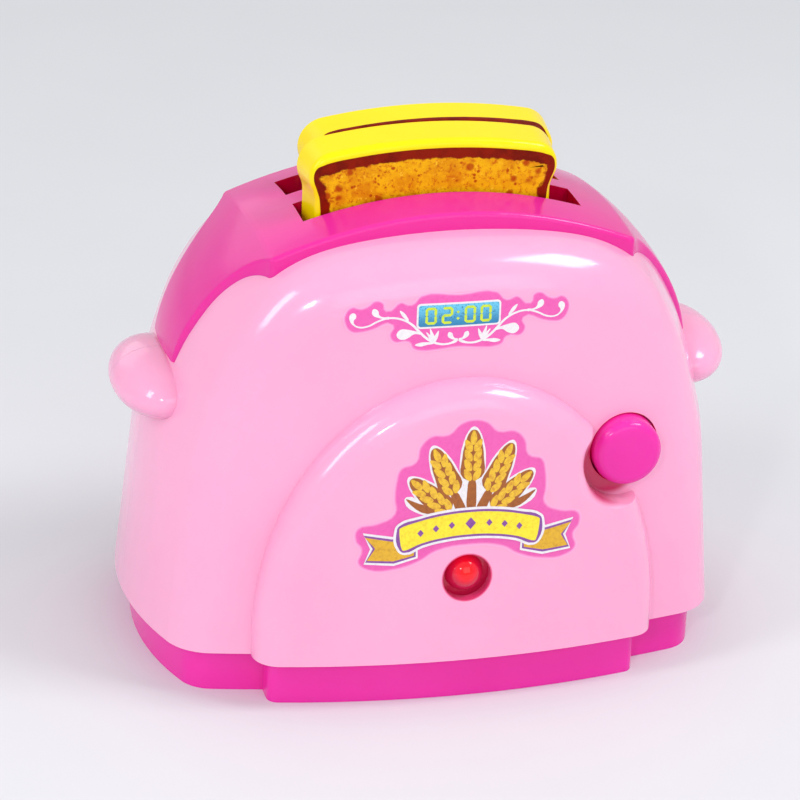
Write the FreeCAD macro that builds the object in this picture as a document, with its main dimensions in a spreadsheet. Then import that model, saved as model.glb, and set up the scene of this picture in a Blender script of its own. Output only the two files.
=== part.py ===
import FreeCAD, Part
import math
import os
import Sketcher
from FreeCAD import Vector

# Toy pop-up toaster with two loose slices of toast, modelled as it comes apart on a bench. Millimetres.
# +X is the toaster's right, -Y its front and +Z up. The origin is on the table under the joint between
# the two housing halves, which is the plane Y = 0.

DOC = FreeCAD.newDocument("ToyToaster")
SHEET = DOC.addObject("Spreadsheet::Sheet", "sizes")

DRIVING_SIZES = (
    # housing
    ("rim_half_width", 58.0, "middle plane to the end wall, at the lower rim"),
    ("rim_half_depth", 35.3, "joint plane to the front or rear wall, at the lower rim"),
    ("rim_height", 9.3, "lower rim of the housing above the table"),
    ("front_bow_radius", 212.0, "plan radius of the front and rear walls"),
    ("end_bow_radius", 64.0, "plan radius of the end walls"),
    ("edge_round", 10.0, "round between the front wall and the ends, shoulders and top"),
    ("side_lean", 0.10, "how far the ends lean in for each millimetre of height"),
    ("face_lean", 0.05, "how far the front and rear lean in for each millimetre of height"),
    ("wall", 2.0, "housing wall"),
    ("side_top", 44.0, "height where the ends turn into the shoulders"),
    ("shell_crown", 89.25, "top of the housing halves under the cover"),
    ("parting_gap", 0.04, "each half stops this far from the joint plane"),
    # front panel
    ("arch_projection", 5.6, "how far the arched panel stands out of the front"),
    ("arch_half_width", 39.0, "half the arched panel's width"),
    ("arch_spring", 13.6, "height where the arch leaves its straight sides"),
    ("arch_rise", 50.4, "rise of the arch above that height"),
    ("arch_bow_radius", 185.0, "plan radius of the panel's face"),
    ("arch_round", 5.2, "round of the panel's edge"),
    # end lugs
    ("lug_centre", 51.6, "middle plane to the middle of an end lug"),
    ("lug_height", 53.4, "height of the lugs"),
    ("lug_reach", 8.8, "half the lug's size across"),
    ("lug_half_length", 14.6, "half the lug's size front to back"),
    ("lug_half_height", 6.2, "half the lug's size up and down"),
    # top cover
    ("cover_crown", 92.35, "top of the cover"),
    ("crown_radius", 84.7, "radius of the crowned middle panel"),
    ("crest_half_width", 34.8, "middle plane to the crease at the shoulder"),
    ("cover_half_depth", 20.4, "joint plane to the cover's front or rear edge"),
    ("crown_middle", -8.0, "where the top is highest, front to back"),
    ("crown_fall", 0.0042, "fall of the top for each square millimetre away from there"),
    ("strip_end_width", 8.1, "half the width of the shoulder strip at its lower end"),
    ("strip_end_height", 59.9, "height of the strip's lower end"),
    ("slot_half_length", 26.8, "half the length of a bread slot"),
    ("slot_near", 2.75, "joint plane to the near side of a slot"),
    ("slot_far", 11.6, "joint plane to the far side of the front slot"),
    ("rear_slot_far", 12.6, "joint plane to the far side of the rear slot"),
    ("chute_wall", 1.3, "wall of the chute below each slot"),
    ("chute_bottom", 81.0, "lower edge of the chutes"),
    # base
    ("base_inset", 3.0, "base inside the housing rim"),
    ("base_floor", 2.0, "bottom plate of the base"),
    ("bay_half_length", 31.0, "half the length of the battery bay"),
    ("bay_half_depth", 16.6, "half the depth of the battery bay"),
    ("bay_top", 19.2, "top of the battery bay"),
    ("bay_wall", 1.8, "wall of the battery bay"),
    # lift
    ("travel", 20.0, "how far the carriage goes down"),
    ("slice_seat", 53.0, "underside of the front slice, toast up"),
    ("rear_seat_drop", 1.8, "rear pocket is this much deeper"),
    ("carriage_floor", 3.5, "thickness of the carriage plate"),
    ("rod_offset", 34.0, "middle plane to a guide rod"),
    ("rod_radius", 1.5, "guide rod"),
    # toast
    ("slice_near", 3.3, "joint plane to the back of a slice"),
    ("slice_thickness", 7.6, "thickness of a slice"),
    ("slice_half_width", 22.5, "half the slice's width below its crown, on the face"),
    ("slice_height", 48.4, "height of the slice's face"),
    ("slice_draft", 7.0, "degrees that the slice widens towards its back"),
    ("slice_shift", 1.7, "how far each slice lies off the middle of its slot"),
    # push button and latch
    ("button_x", 32.1, "button axis"),
    ("button_z", 46.5, "button axis"),
    ("button_radius", 6.6, "button cap"),
    ("button_face", 34.6, "joint plane to the button's face"),
    ("button_travel", 3.0, "how far the button goes in"),
    ("button_hole", 7.0, "radius of the hole in the front wall"),
    ("pocket_radius", 9.5, "radius of the hollow round the button"),
    ("latch_axis_y", -17.0, "latch pin, front to back"),
    ("latch_axis_z", 37.5, "height of the latch pin"),
    ("pin_radius", 1.0, "latch pin"),
    # lamp
    ("lamp_z", 26.3, "height of the lamp"),
    ("lamp_hole", 4.65, "radius of the lamp's hole"),
    # screws
    ("screw_radius", 1.2, "thread of the housing screws"),
    ("head_radius", 2.4, "head of the housing screws"),
    ("corner_screw_x", 44.5, "base screws, sideways"),
    ("corner_screw_y", 20.0, "base screws, front to back"),
)


class Sized:
    """A length that knows its value and the spreadsheet expression that gives it."""

    def __init__(self, value, text):
        self.value = value
        self.text = text

    def _join(self, other, sign, value):
        return Sized(value, "(%s %s %s)" % (self.text, sign, sized(other).text))

    def __add__(self, other):
        return self._join(other, "+", self.value + sized(other).value)

    def __sub__(self, other):
        return self._join(other, "-", self.value - sized(other).value)

    def __mul__(self, other):
        return self._join(other, "*", self.value * sized(other).value)

    def __truediv__(self, other):
        return self._join(other, "/", self.value / sized(other).value)

    def __radd__(self, other):
        return sized(other) + self

    def __rsub__(self, other):
        return sized(other) - self

    def __rmul__(self, other):
        return sized(other) * self

    def __neg__(self):
        return sized(0) - self


def sized(number):
    return number if isinstance(number, Sized) else Sized(float(number), repr(float(number)))


class Sizes:
    """The spreadsheet's aliases as attributes."""


def fill_sheet():
    for row, (alias, value, meaning) in enumerate(DRIVING_SIZES, start=1):
        SHEET.set("A%d" % row, alias)
        SHEET.set("B%d" % row, str(value))
        SHEET.set("C%d" % row, meaning)
        SHEET.setAlias("B%d" % row, alias)
        setattr(Sizes, alias, Sized(value, "sizes." + alias))
    DOC.recompute()


fill_sheet()
S = Sizes

# ---------------------------------------------------------------------------------------------------
# Ways of making a piece
# ---------------------------------------------------------------------------------------------------

ALONG = {
    "X": FreeCAD.Rotation(Vector(0, 1, 0), 90),
    "Y": FreeCAD.Rotation(Vector(1, 0, 0), -90),
    "Z": FreeCAD.Rotation(),
}


def bind(piece, **lengths):
    for name, length in lengths.items():
        piece.setExpression(name, sized(length).text)


def place(piece, at, turn=None):
    if turn is not None:
        piece.Placement = FreeCAD.Placement(Vector(), turn)
    for axis, length in zip("xyz", at):
        piece.setExpression("Placement.Base." + axis, sized(length).text)
    return piece


def block(name, low, high):
    """A box between two corners."""
    piece = DOC.addObject("Part::Box", name)
    spans = [sized(top) - bottom for bottom, top in zip(low, high)]
    bind(piece, Length=spans[0], Width=spans[1], Height=spans[2])
    return place(piece, low)


def cylinder(name, axis, foot, radius, length):
    """A cylinder of that length from the middle of its foot along X, Y or Z."""
    piece = DOC.addObject("Part::Cylinder", name)
    bind(piece, Radius=radius, Height=length)
    return place(piece, foot, ALONG[axis])


def fuse(name, *pieces):
    piece = DOC.addObject("Part::MultiFuse", name)
    piece.Shapes = list(pieces)
    return piece


def common(name, *pieces):
    piece = DOC.addObject("Part::MultiCommon", name)
    piece.Shapes = list(pieces)
    return piece


def cut(name, base, *tools):
    piece = DOC.addObject("Part::Cut", name)
    piece.Base = base
    piece.Tool = tools[0] if len(tools) == 1 else fuse(name + "_tools", *tools)
    return piece


def group(name, *pieces):
    piece = DOC.addObject("Part::Compound", name)
    piece.Links = list(pieces)
    return piece


def mirrored(name, source, normal):
    piece = DOC.addObject("Part::Mirroring", name)
    piece.Source = source
    piece.Normal = normal
    return piece


def both_sides(name, source):
    """The piece and its mirror image on the other side of the middle plane."""
    return group(name, source, mirrored(name + "_left", source, Vector(1, 0, 0)))


def four_corners(name, source):
    pair = both_sides(name + "_pair", source)
    return group(name, pair, mirrored(name + "_rear", pair, Vector(0, 1, 0)))


def rounded(name, base, radius, chosen):
    """A fillet on the edges that the test picks."""
    DOC.recompute()
    edges = [(i, radius, radius) for i, edge in enumerate(base.Shape.Edges, start=1) if chosen(edge)]
    piece = DOC.addObject("Part::Fillet", name)
    piece.Base = base
    piece.Edges = edges
    return piece


def formed(name, shape):
    piece = DOC.addObject("Part::Feature", name)
    piece.Shape = shape
    return piece


def body(name):
    return DOC.addObject("PartDesign::Body", name)


def sketch(owner, name, role, offset=0):
    drawing = owner.newObject("Sketcher::SketchObject", name)
    plane = next(item for item in owner.Origin.OriginFeatures if item.Role == role)
    drawing.AttachmentSupport = [(plane, "")]
    drawing.MapMode = "FlatFace"
    drawing.setExpression("AttachmentOffset.Base.z", sized(offset).text)
    return drawing


def fix_point(drawing, index, point, where):
    """Ties one point of a curve to the sketch's origin by two lengths from the sheet."""
    for kind, length in zip(("DistanceX", "DistanceY"), where):
        length = sized(length)
        number = drawing.addConstraint(Sketcher.Constraint(kind, -1, 1, index, point, length.value))
        drawing.setExpression("Constraints[%d]" % number, length.text)


def outline(drawing, corners):
    """A closed outline of straight lines, each corner tied to the sheet."""
    points = [Vector(sized(a).value, sized(b).value, 0) for a, b in corners]
    first = drawing.GeometryCount
    for i, point in enumerate(points):
        drawing.addGeometry(Part.LineSegment(point, points[(i + 1) % len(points)]))
    for i in range(len(points)):
        nxt = first + (i + 1) % len(points)
        drawing.addConstraint(Sketcher.Constraint("Coincident", first + i, 2, nxt, 1))
    for i, corner in enumerate(corners):
        fix_point(drawing, first + i, 1, corner)


def ring(drawing, centre, radius):
    radius = sized(radius)
    middle = Vector(sized(centre[0]).value, sized(centre[1]).value, 0)
    index = drawing.addGeometry(Part.Circle(middle, Vector(0, 0, 1), radius.value))
    fix_point(drawing, index, 3, centre)
    number = drawing.addConstraint(Sketcher.Constraint("Radius", index, radius.value))
    drawing.setExpression("Constraints[%d]" % number, radius.text)


def pad(owner, drawing, name, length, reverse=False, both=False):
    feature = owner.newObject("PartDesign::Pad", name)
    feature.Profile = drawing
    feature.setExpression("Length", sized(length).text)
    feature.Reversed = reverse
    feature.Midplane = both
    return feature


def pocket(owner, drawing, name, length, reverse=False):
    feature = owner.newObject("PartDesign::Pocket", name)
    feature.Profile = drawing
    feature.setExpression("Length", sized(length).text)
    feature.Reversed = reverse
    return feature


def turned(name, role, axis, corners, at=(0, 0, 0), turn=None):
    """A body turned on a lathe: half its section spun about a sketch axis, then set in place."""
    owner = body(name)
    half = sketch(owner, name + "_half", role)
    outline(half, corners)
    spun = owner.newObject("PartDesign::Revolution", name + "_spun")
    spun.Profile = half
    spun.ReferenceAxis = (half, [axis])
    spun.Angle = 360
    place(owner, at, turn)
    return owner


def coil(name, radius, wire, turns, height):
    """A helical spring round the Z axis, its wire an eight-sided bar laid in short straight steps."""
    radius, wire, height = sized(radius).value, sized(wire).value, sized(height).value
    steps, sides = 14, 8
    climb = height / (turns * steps)
    slope = math.atan(climb * steps / (2 * math.pi * radius))
    sections = []
    for step in range(turns * steps + 1):
        turn = 2 * math.pi * step / steps
        out = Vector(math.cos(turn), math.sin(turn), 0)
        along = Vector(-math.sin(turn) * math.cos(slope), math.cos(turn) * math.cos(slope), math.sin(slope))
        up = out.cross(along)
        middle = out * radius + Vector(0, 0, climb * step)
        corners = []
        for side in range(sides):
            angle = 2 * math.pi * (side + 0.5) / sides
            corners.append(middle + out * (wire * math.cos(angle)) + up * (wire * math.sin(angle)))
        sections.append(Part.makePolygon(corners + corners[:1]))
    return formed(name, Part.makeLoft(sections, True, True))


# ---------------------------------------------------------------------------------------------------
# Housing: outer and inner form of the two halves
# ---------------------------------------------------------------------------------------------------

# Half the dome's section: each point on the joint plane, its outward direction across the housing, how much
# further in it lies at the front and rear than there, and how much of the top's fall it takes.
DOME = (
    ((53.2, 50.0), (0.97, 0.23), 10.1, 0.0),
    ((51.9, 55.0), (0.96, 0.27), 10.1, 0.0),
    ((50.4, 60.0), (0.95, 0.32), 9.9, 0.03),
    ((48.4, 65.6), (0.92, 0.40), 9.4, 0.12),
    ((45.6, 71.2), (0.87, 0.49), 8.6, 0.3),
    ((42.0, 76.9), (0.79, 0.62), 7.5, 0.55),
    ((37.2, 81.8), (0.60, 0.80), 5.8, 0.8),
    ((30.4, 85.6), (0.36, 0.93), 3.6, 0.95),
    ((20.0, 88.1), (0.15, 0.99), 1.4, 1.0),
)
DOME_REACH = 36.0


def top_fall(y):
    """How far the top has fallen away from its highest line."""
    return S.crown_fall.value * (y - S.crown_middle.value) ** 2


def dome_section(y, inset):
    """One section across the housing: flat below, leaning ends, rounded shoulders and a crowned top."""
    rim = S.rim_half_width.value - y * y / (2 * S.end_bow_radius.value) - inset
    foot = S.rim_height.value - (1.0 if inset else 0.0)
    roll = (y / DOME_REACH) ** 2
    lean = S.side_lean.value
    heights = [foot + (S.side_top.value - foot) * step / 3 for step in range(4)]
    half = [Vector(rim + lean * (S.rim_height.value - z), y, z) for z in heights]
    for (x, z), (out_x, out_z), depth, share in DOME:
        depth = inset + depth * roll
        half.append(Vector(x - out_x * depth, y, z - out_z * depth - share * top_fall(y)))
    half.append(Vector(0, y, S.shell_crown.value - inset - top_fall(y)))
    points = half + [Vector(-p.x, p.y, p.z) for p in reversed(half[:-1])]
    poles = list(points)
    for i in range(1, len(points) - 1):
        poles[i] = points[i] - (points[i - 1] - points[i] * 2 + points[i + 1]) * (1 / 6)
    arch = Part.BSplineCurve()
    arch.buildFromPoles(poles, False, 3)
    return Part.Wire([arch.toShape(), Part.makeLine(points[-1], points[0])])


def bowed_limit(depth, radius, side):
    """A tall leaning drum whose surface is the bowed front (side -1) or rear (side 1) wall."""
    drum = Part.makeCylinder(radius, 140, Vector(0, side * (depth - radius), -20))
    lean = side * math.degrees(math.atan(S.face_lean.value))
    drum.rotate(Vector(0, side * depth, S.rim_height.value), Vector(1, 0, 0), lean)
    return drum


def housing_form(inset):
    """The rounded loaf that both halves are cut from, or its hollow when inset is the wall."""
    reach = DOME_REACH + 2
    stations = [reach * step / 3 for step in range(-3, 4)]
    form = Part.makeLoft([dome_section(y, inset) for y in stations], True, False)
    for side in (-1, 1):
        depth = S.rim_half_depth.value - inset
        form = form.common(bowed_limit(depth, S.front_bow_radius.value - inset, side))
    rims = []
    for edge in form.Edges:
        points = edge.discretize(9)
        at_a_face = abs(points[4].y) > DOME_REACH / 2
        if at_a_face and max(p.z for p in points) > S.rim_height.value + 1:
            rims.append(edge)
    return form.makeFillet(S.edge_round.value - inset, rims)


def arch_form(inset):
    """The arched front panel: straight sides below, half an ellipse above, a bowed face, round edges."""
    half, spring = S.arch_half_width.value - inset, S.arch_spring.value
    foot = S.rim_height.value - (1.0 if inset else 0.0)
    back = -(S.rim_half_depth.value - 15)
    rise = S.arch_rise.value - inset
    ellipse = Part.Ellipse(Vector(0, back, spring + rise), Vector(half, back, spring), Vector(0, back, spring))
    curve = ellipse.toShape()
    drum_depth = S.rim_half_depth.value + S.arch_projection.value - inset
    upper = Part.Face(Part.Wire(curve)).extrude(Vector(0, -40, 0))
    lower = Part.makeBox(2 * half, 40, spring - foot, Vector(-half, back - 40, foot))
    upper = upper.cut(Part.makeBox(300, 200, 200, Vector(-150, -150, spring - 200)))
    panel = upper.fuse(lower).removeSplitter()
    panel = panel.common(bowed_limit(drum_depth, S.arch_bow_radius.value - inset, -1))
    front_edges = []
    for edge in panel.Edges:
        points = edge.discretize(9)
        if max(p.y for p in points) < back - 5 and max(p.z for p in points) > foot + 0.5:
            front_edges.append(edge)
    return panel.makeFillet(S.arch_round.value - inset, front_edges)


def footprint(name, inset, bottom, height):
    """A slab with the housing's outline, stepped out in front for the arched panel."""
    front = S.front_bow_radius - inset
    end = S.end_bow_radius - inset
    face = S.rim_half_depth - inset
    limits = [
        cylinder(name + "_front", "Z", (0, front - face, bottom), front, height),
        cylinder(name + "_back", "Z", (0, face - front, bottom), front, height),
        cylinder(name + "_right", "Z", (S.rim_half_width - inset - end, 0, bottom), end, height),
        cylinder(name + "_left", "Z", (end + inset - S.rim_half_width, 0, bottom), end, height),
    ]
    sheer = common(name + "_sheer", *limits)
    upright = lambda edge: len(edge.Vertexes) == 2 and edge.BoundBox.ZLength > 1
    main = rounded(name + "_main", sheer, S.edge_round.value - sized(inset).value, upright)
    half = S.arch_half_width - inset
    bow = S.arch_bow_radius - inset
    face = S.rim_half_depth + S.arch_projection - inset
    step = common(
        name + "_step",
        block(name + "_step_box", (-half, -60, bottom), (half, -20, bottom + height)),
        cylinder(name + "_step_bow", "Z", (0, bow - face, bottom), bow, height),
    )
    ahead = lambda edge: upright(edge) and edge.BoundBox.YMax < -30
    step = rounded(name + "_step_round", step, S.arch_round.value - min(sized(inset).value, 4), ahead)
    return fuse(name, main, step)


def make_pocket_bore():
    """The hollow round the button, its mouth flared where it opens through the arched panel."""
    radius = S.pocket_radius
    return turned("pocket_bore", "YZ_Plane", "H_Axis", [
        (-60, 0), (-60, radius + 2.1), (-38.1, radius + 2.1), (-37.8, radius + 1.4), (-37.4, radius + 0.8),
        (-37.0, radius + 0.4), (-36.5, radius + 0.12), (-35.9, radius), (-10, radius), (-10, 0),
    ], (S.button_x, 0, S.button_z))


def make_shells():
    outer = formed("housing_form", housing_form(0))
    inner = formed("housing_hollow", housing_form(S.wall.value))
    arch = formed("arch_form", arch_form(0))
    lug = DOC.addObject("Part::Ellipsoid", "lug")
    bind(lug, Radius1=S.lug_half_height, Radius2=S.lug_reach, Radius3=S.lug_half_length)
    place(lug, (S.lug_centre, 0, S.lug_height))
    lugs = both_sides("lugs", lug)
    button_axis = (S.button_x, -60, S.button_z)
    collar = cylinder("button_collar", "Y", button_axis, S.pocket_radius + S.wall, 50)
    arch_hollow = cut("arch_hollow", formed("arch_inner", arch_form(S.wall.value)), collar)
    skin = cut("skin", fuse("solid_housing", outer, arch, lugs), fuse("hollow", inner, arch_hollow))
    openings = [
        block("slot_opening", (-30, -15.5, 60), (30, 15.5, 100)),
        block("rod_opening", (-37.8, -5, 60), (37.8, 5, 100)),
        cut("button_pocket", make_pocket_bore(), outer),
        cylinder("button_bore", "Y", button_axis, S.button_hole, 50),
        cylinder("lamp_bore", "Y", (0, -60, S.lamp_z), S.lamp_hole, 40),
    ]
    skin = cut("open_skin", skin, *openings)
    front_box = block("front_side", (-80, -80, 0), (80, -S.parting_gap, 120))
    rear_box = block("rear_side", (-80, S.parting_gap, 0), (80, 80, 120))
    front_skin = common("front_skin", skin, front_box)
    rear_skin = common("rear_skin", skin, rear_box)

    # Screw posts that close the joint between the halves, and the posts that the base screws into.
    posts = {}
    for side, face in (("front", front_box), ("rear", rear_box)):
        low = both_sides(side + "_low", cylinder(side + "_low_post", "Y", (45, -40, 23.5), 3.6, 80))
        high = both_sides(side + "_high", cylinder(side + "_high_post", "Y", (43, -40, 62), 3.6, 80))
        away = -1 if side == "front" else 1
        corner_y = away * S.corner_screw_y
        foot = cylinder(side + "_foot_post", "Z", (S.corner_screw_x, corner_y, 11.7), 3.2, 7.5)
        edge = away * 34
        web_low = (S.corner_screw_x - 0.8, min(edge, corner_y.value), 11.9)
        web_high = (S.corner_screw_x + 0.8, max(edge, corner_y.value), 19.2)
        web = block(side + "_foot_web", web_low, web_high)
        feet = both_sides(side + "_feet", fuse(side + "_foot", foot, web))
        solids = [low, high, feet]
        if side == "front":
            solids += [
                cylinder("frame_post_left", "Y", (S.button_x - 7.5, -40, S.button_z + 8.5), 2.6, 19),
                cylinder("frame_post_right", "Y", (S.button_x + 7.5, -40, S.button_z + 8.5), 2.6, 19),
                both_sides("board_posts", cylinder("board_post", "Y", (10, -44, 33.5), 2.2, 14.5)),
            ]
        solid = fuse(side + "_post_solid", *solids)
        posts[side] = common(side + "_posts", solid, face, fuse(side + "_trim", outer, arch))
    foot_hole = cylinder("foot_hole", "Z", (S.corner_screw_x, -S.corner_screw_y, 8), S.screw_radius + 0.05, 10)
    foot_holes = four_corners("foot_holes", foot_hole)
    joint_holes = [
        both_sides("low_hole", cylinder("low_bore", "Y", (45, -12, 23.5), S.screw_radius + 0.05, 40)),
        both_sides("high_hole", cylinder("high_bore", "Y", (43, -12, 62), S.screw_radius + 0.05, 40)),
    ]
    wells = [
        both_sides("low_well", cylinder("low_counterbore", "Y", (45, 6, 23.5), S.head_radius + 0.3, 40)),
        both_sides("high_well", cylinder("high_counterbore", "Y", (43, 6, 62), S.head_radius + 0.3, 40)),
    ]
    small = [
        cylinder("frame_hole_left", "Y", (S.button_x - 7.5, -28, S.button_z + 8.5), 0.85, 9),
        cylinder("frame_hole_right", "Y", (S.button_x + 7.5, -28, S.button_z + 8.5), 0.85, 9),
        both_sides("board_holes", cylinder("board_hole", "Y", (10, -35.5, 33.5), 0.85, 8)),
    ]
    cut("front_shell", fuse("front_body", front_skin, posts["front"]), foot_holes, *joint_holes, *small)
    cut("rear_shell", fuse("rear_body", rear_skin, posts["rear"]), foot_holes, *joint_holes, *wells)
    return outer, lugs


# ---------------------------------------------------------------------------------------------------
# Top cover
# ---------------------------------------------------------------------------------------------------

# The shoulder strip seen from the front and from above. Each pole of its curve has an outward direction, how
# much further in it lies at the front and rear, and how much of the top's fall it takes.
STRIP = (
    ((34.8, 85.2), (0.40, 0.92), 0.0, 1.0),
    ((40.1, 81.3), (0.55, 0.84), 4.0, 0.8),
    ((49.0, 71.2), (0.90, 0.44), 8.0, 0.2),
    ((50.9, 59.9), (0.98, 0.20), 9.8, 0.0),
)
COVER_ROUND = 0.9
STRIP_PLAN = ((36.2, 17.9), (38.2, 15.5), (40.5, 13.7), (43.5, 11.8), (46.5, 10.4), (49.0, 9.1))


def cover_section(y):
    """The cover's section: crowned middle, crease, then the shoulder strips."""
    crest_x, fall, roll = S.crest_half_width.value, top_fall(y), (y / DOME_REACH) ** 2
    crown = S.cover_crown.value - fall
    poles = []
    for (x, z), (out_x, out_z), depth, share in STRIP:
        poles.append(Vector(x - out_x * depth * roll, y, z - out_z * depth * roll - share * fall))
    crest = poles[0]
    middle = Part.BezierCurve()
    rise = 2 * crown - crest.z
    middle.setPoles([Vector(-crest.x, y, crest.z), Vector(0, y, rise), crest])
    shoulder = Part.BezierCurve()
    shoulder.setPoles(poles)
    opposite = Part.BezierCurve()
    opposite.setPoles([Vector(-pole.x, pole.y, pole.z) for pole in reversed(poles)])
    low = Part.makeLine(poles[-1], Vector(-poles[-1].x, y, poles[-1].z))
    return Part.Wire([middle.toShape(), shoulder.toShape(), low, opposite.toShape()])


def cover_plan():
    """The cover seen from above: a straight-sided middle and strips that narrow to their ends."""
    crest_x, depth = S.crest_half_width.value, S.cover_half_depth.value
    corner = Vector(crest_x, -depth - 0.4, 0)
    knots = [corner] + [Vector(x, -y, 0) for x, y in STRIP_PLAN] + [Vector(52.5, -S.strip_end_width.value + 0.6, 0)]
    waist = Part.BSplineCurve()
    waist.interpolate(knots)
    front = [Part.makeLine(Vector(-corner.x, corner.y, 0), corner), waist.toShape()]
    front.append(waist.toShape().mirror(Vector(), Vector(1, 0, 0)))
    rear = [edge.mirror(Vector(), Vector(0, 1, 0)) for edge in front]
    tip = knots[-1]
    ends = [Part.makeLine(Vector(s * tip.x, tip.y, 0), Vector(s * tip.x, -tip.y, 0)) for s in (-1, 1)]
    return Part.Face(Part.Wire(Part.__sortEdges__(front + rear + ends)))


def cover_form():
    """The cover as a solid saddle with its creases, corners and upper edges rounded."""
    crowned = Part.makeLoft([cover_section(y) for y in (-24, -16, -8, 0, 8, 16, 24)], True, False)
    crest_x = S.crest_half_width.value
    creases = [e for e in crowned.Edges if e.BoundBox.YLength > 40 and abs(abs(e.BoundBox.Center.x) - crest_x) < 1
               and e.BoundBox.ZMax > 70]
    crowned = crowned.makeFillet(3.0, creases)
    plan = cover_plan()
    plan.translate(Vector(0, 0, 40))
    upright = plan.extrude(Vector(0, 0, 80))
    corners = [e for e in upright.Edges if e.BoundBox.ZLength > 70 and abs(abs(e.BoundBox.Center.x) - crest_x) < 1]
    upright = upright.makeFillet(1.2, corners)
    saddle = crowned.common(upright)
    upper = []
    for edge in saddle.Edges:
        points = edge.discretize(7)
        above_the_ends = max(p.z for p in points) > S.strip_end_height.value + 1
        upright_edge = edge.BoundBox.XLength < 0.01 and edge.BoundBox.YLength < 0.01
        if above_the_ends and not upright_edge and all(point_on_plan(upright, p) for p in points):
            upper.append(edge)
    return saddle, upper


def point_on_plan(upright, point):
    """Whether the point lies on an upright side of the plan."""
    return Part.Vertex(point).distToShape(upright.Shells[0])[0] < 1e-3


def make_cover(outer, lugs):
    saddle, upper = cover_form()
    saddle = formed("cover_saddle", saddle.makeFillet(COVER_ROUND, upper))
    skin = cut("cover_skin", saddle, outer, lugs)
    chutes = []
    for side, sign in (("front", -1), ("rear", 1)):
        near = sign * (S.slot_near - S.chute_wall)
        far = sign * ((S.slot_far if sign < 0 else S.rear_slot_far) + S.chute_wall)
        low, high = (near, far) if sign > 0 else (far, near)
        reach = S.slot_half_length + S.chute_wall
        chutes.append(block(side + "_chute", (-reach, low, S.chute_bottom), (reach, high, 95)))
    boss = cylinder("rod_boss", "Z", (S.rod_offset, 0, S.slice_seat + 3.6), 3.4, 40)
    hung = common("cover_hung", fuse("cover_inside", *chutes, both_sides("rod_bosses", boss)), saddle)
    slots = []
    for side, sign in (("front", -1), ("rear", 1)):
        near, far = sign * S.slot_near, sign * (S.slot_far if sign < 0 else S.rear_slot_far)
        low, high = (near, far) if sign > 0 else (far, near)
        reach = S.slot_half_length
        slots.append(block(side + "_slot", (-reach, low, 70), (reach, high, 100)))
    socket = cylinder("rod_socket", "Z", (S.rod_offset, 0, 50), S.rod_radius + 0.02, 33.5)
    cut("top_cover", fuse("cover_body", skin, hung), *slots, both_sides("rod_sockets", socket))


# ---------------------------------------------------------------------------------------------------
# Base, battery bay and its door
# ---------------------------------------------------------------------------------------------------

DOOR_TAB_X = 34.0
DOOR_TAB_Y = 10.0
CELL_REACH = 20.1
CELL_OFFSET = 7.9
CELL_HEIGHT = 10.3


def make_base():
    lip_inset = S.wall + 0.7
    skirt = footprint("base_skirt", S.base_inset, 0, S.rim_height)
    lip = footprint("base_lip", lip_inset, S.rim_height - 1.2, 3.4)
    lip_hollow = footprint("base_lip_hollow", lip_inset + 1.8, S.rim_height - 2.4, 6)
    hollow = footprint("base_hollow", S.base_inset + 2, S.base_floor, 12)
    tray = cut("base_tray", fuse("base_walls", cut("base_rim", lip, lip_hollow), skirt), hollow)
    wall = S.bay_wall
    length, depth = S.bay_half_length, S.bay_half_depth
    bay = block("bay_box", (-length - wall, -depth - wall, 0), (length + wall, depth + wall, S.bay_top))
    bosses = [
        four_corners("foot_bosses", cylinder("foot_boss", "Z", (S.corner_screw_x, -S.corner_screw_y, 0), 4, 11.6)),
        both_sides("rod_posts", cylinder("rod_post", "Z", (S.rod_offset, 0, 0), 3.5, S.bay_top)),
        cylinder("door_boss", "Z", (DOOR_TAB_X, DOOR_TAB_Y, 0), 3.4, 11),
        cylinder("spring_spigot", "Z", (0, 0, S.bay_top - 1), 3.6, 4),
    ]
    voids = [
        block("bay_inside", (-length, -depth, 3.2), (length, depth, S.bay_top - wall)),
        block("bay_mouth", (1.7 - length, 1.7 - depth, -1), (length - 1.7, depth - 1.7, 4)),
        block("door_seat", (-length - 0.3, -depth - 0.3, -1), (length + 0.3, depth + 0.3, 2)),
        block("door_tab_seat", (length - 1, DOOR_TAB_Y - 4, -1), (DOOR_TAB_X + 4, DOOR_TAB_Y + 4, 2)),
        cylinder("door_screw_hole", "Z", (DOOR_TAB_X, DOOR_TAB_Y, 0), S.screw_radius + 0.05, 10),
        both_sides("rod_seats", cylinder("rod_seat", "Z", (S.rod_offset, 0, 13), S.rod_radius + 0.02, 20)),
        four_corners(
            "foot_counterbores",
            cylinder("foot_counterbore", "Z", (S.corner_screw_x, -S.corner_screw_y, -1), S.head_radius + 0.3, 6),
        ),
        four_corners(
            "foot_clearances",
            cylinder("foot_clearance", "Z", (S.corner_screw_x, -S.corner_screw_y, -1), S.screw_radius + 0.2, 14),
        ),
    ]
    cut("base", fuse("base_solid", tray, bay, *bosses), *voids)


def make_battery_door():
    door = body("battery_door")
    plate = sketch(door, "door_plan", "XY_Plane")
    length, depth = S.bay_half_length, S.bay_half_depth
    tab_x, tab_y = sized(DOOR_TAB_X + 3.7), sized(DOOR_TAB_Y)
    outline(plate, [
        (-length, -depth), (length, -depth), (length, tab_y - 3.7), (tab_x, tab_y - 3.7),
        (tab_x, tab_y + 3.7), (length, tab_y + 3.7), (length, depth), (-length, depth),
    ])
    pad(door, plate, "door_plate", 1.7)
    for name, radius, depth in (("door_screw_way", S.screw_radius + 0.2, 4), ("door_head_way", 2.7, 1.0)):
        hole = sketch(door, name + "_circle", "XY_Plane")
        ring(hole, (DOOR_TAB_X, DOOR_TAB_Y), radius)
        pocket(door, hole, name, depth, reverse=True)


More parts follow.
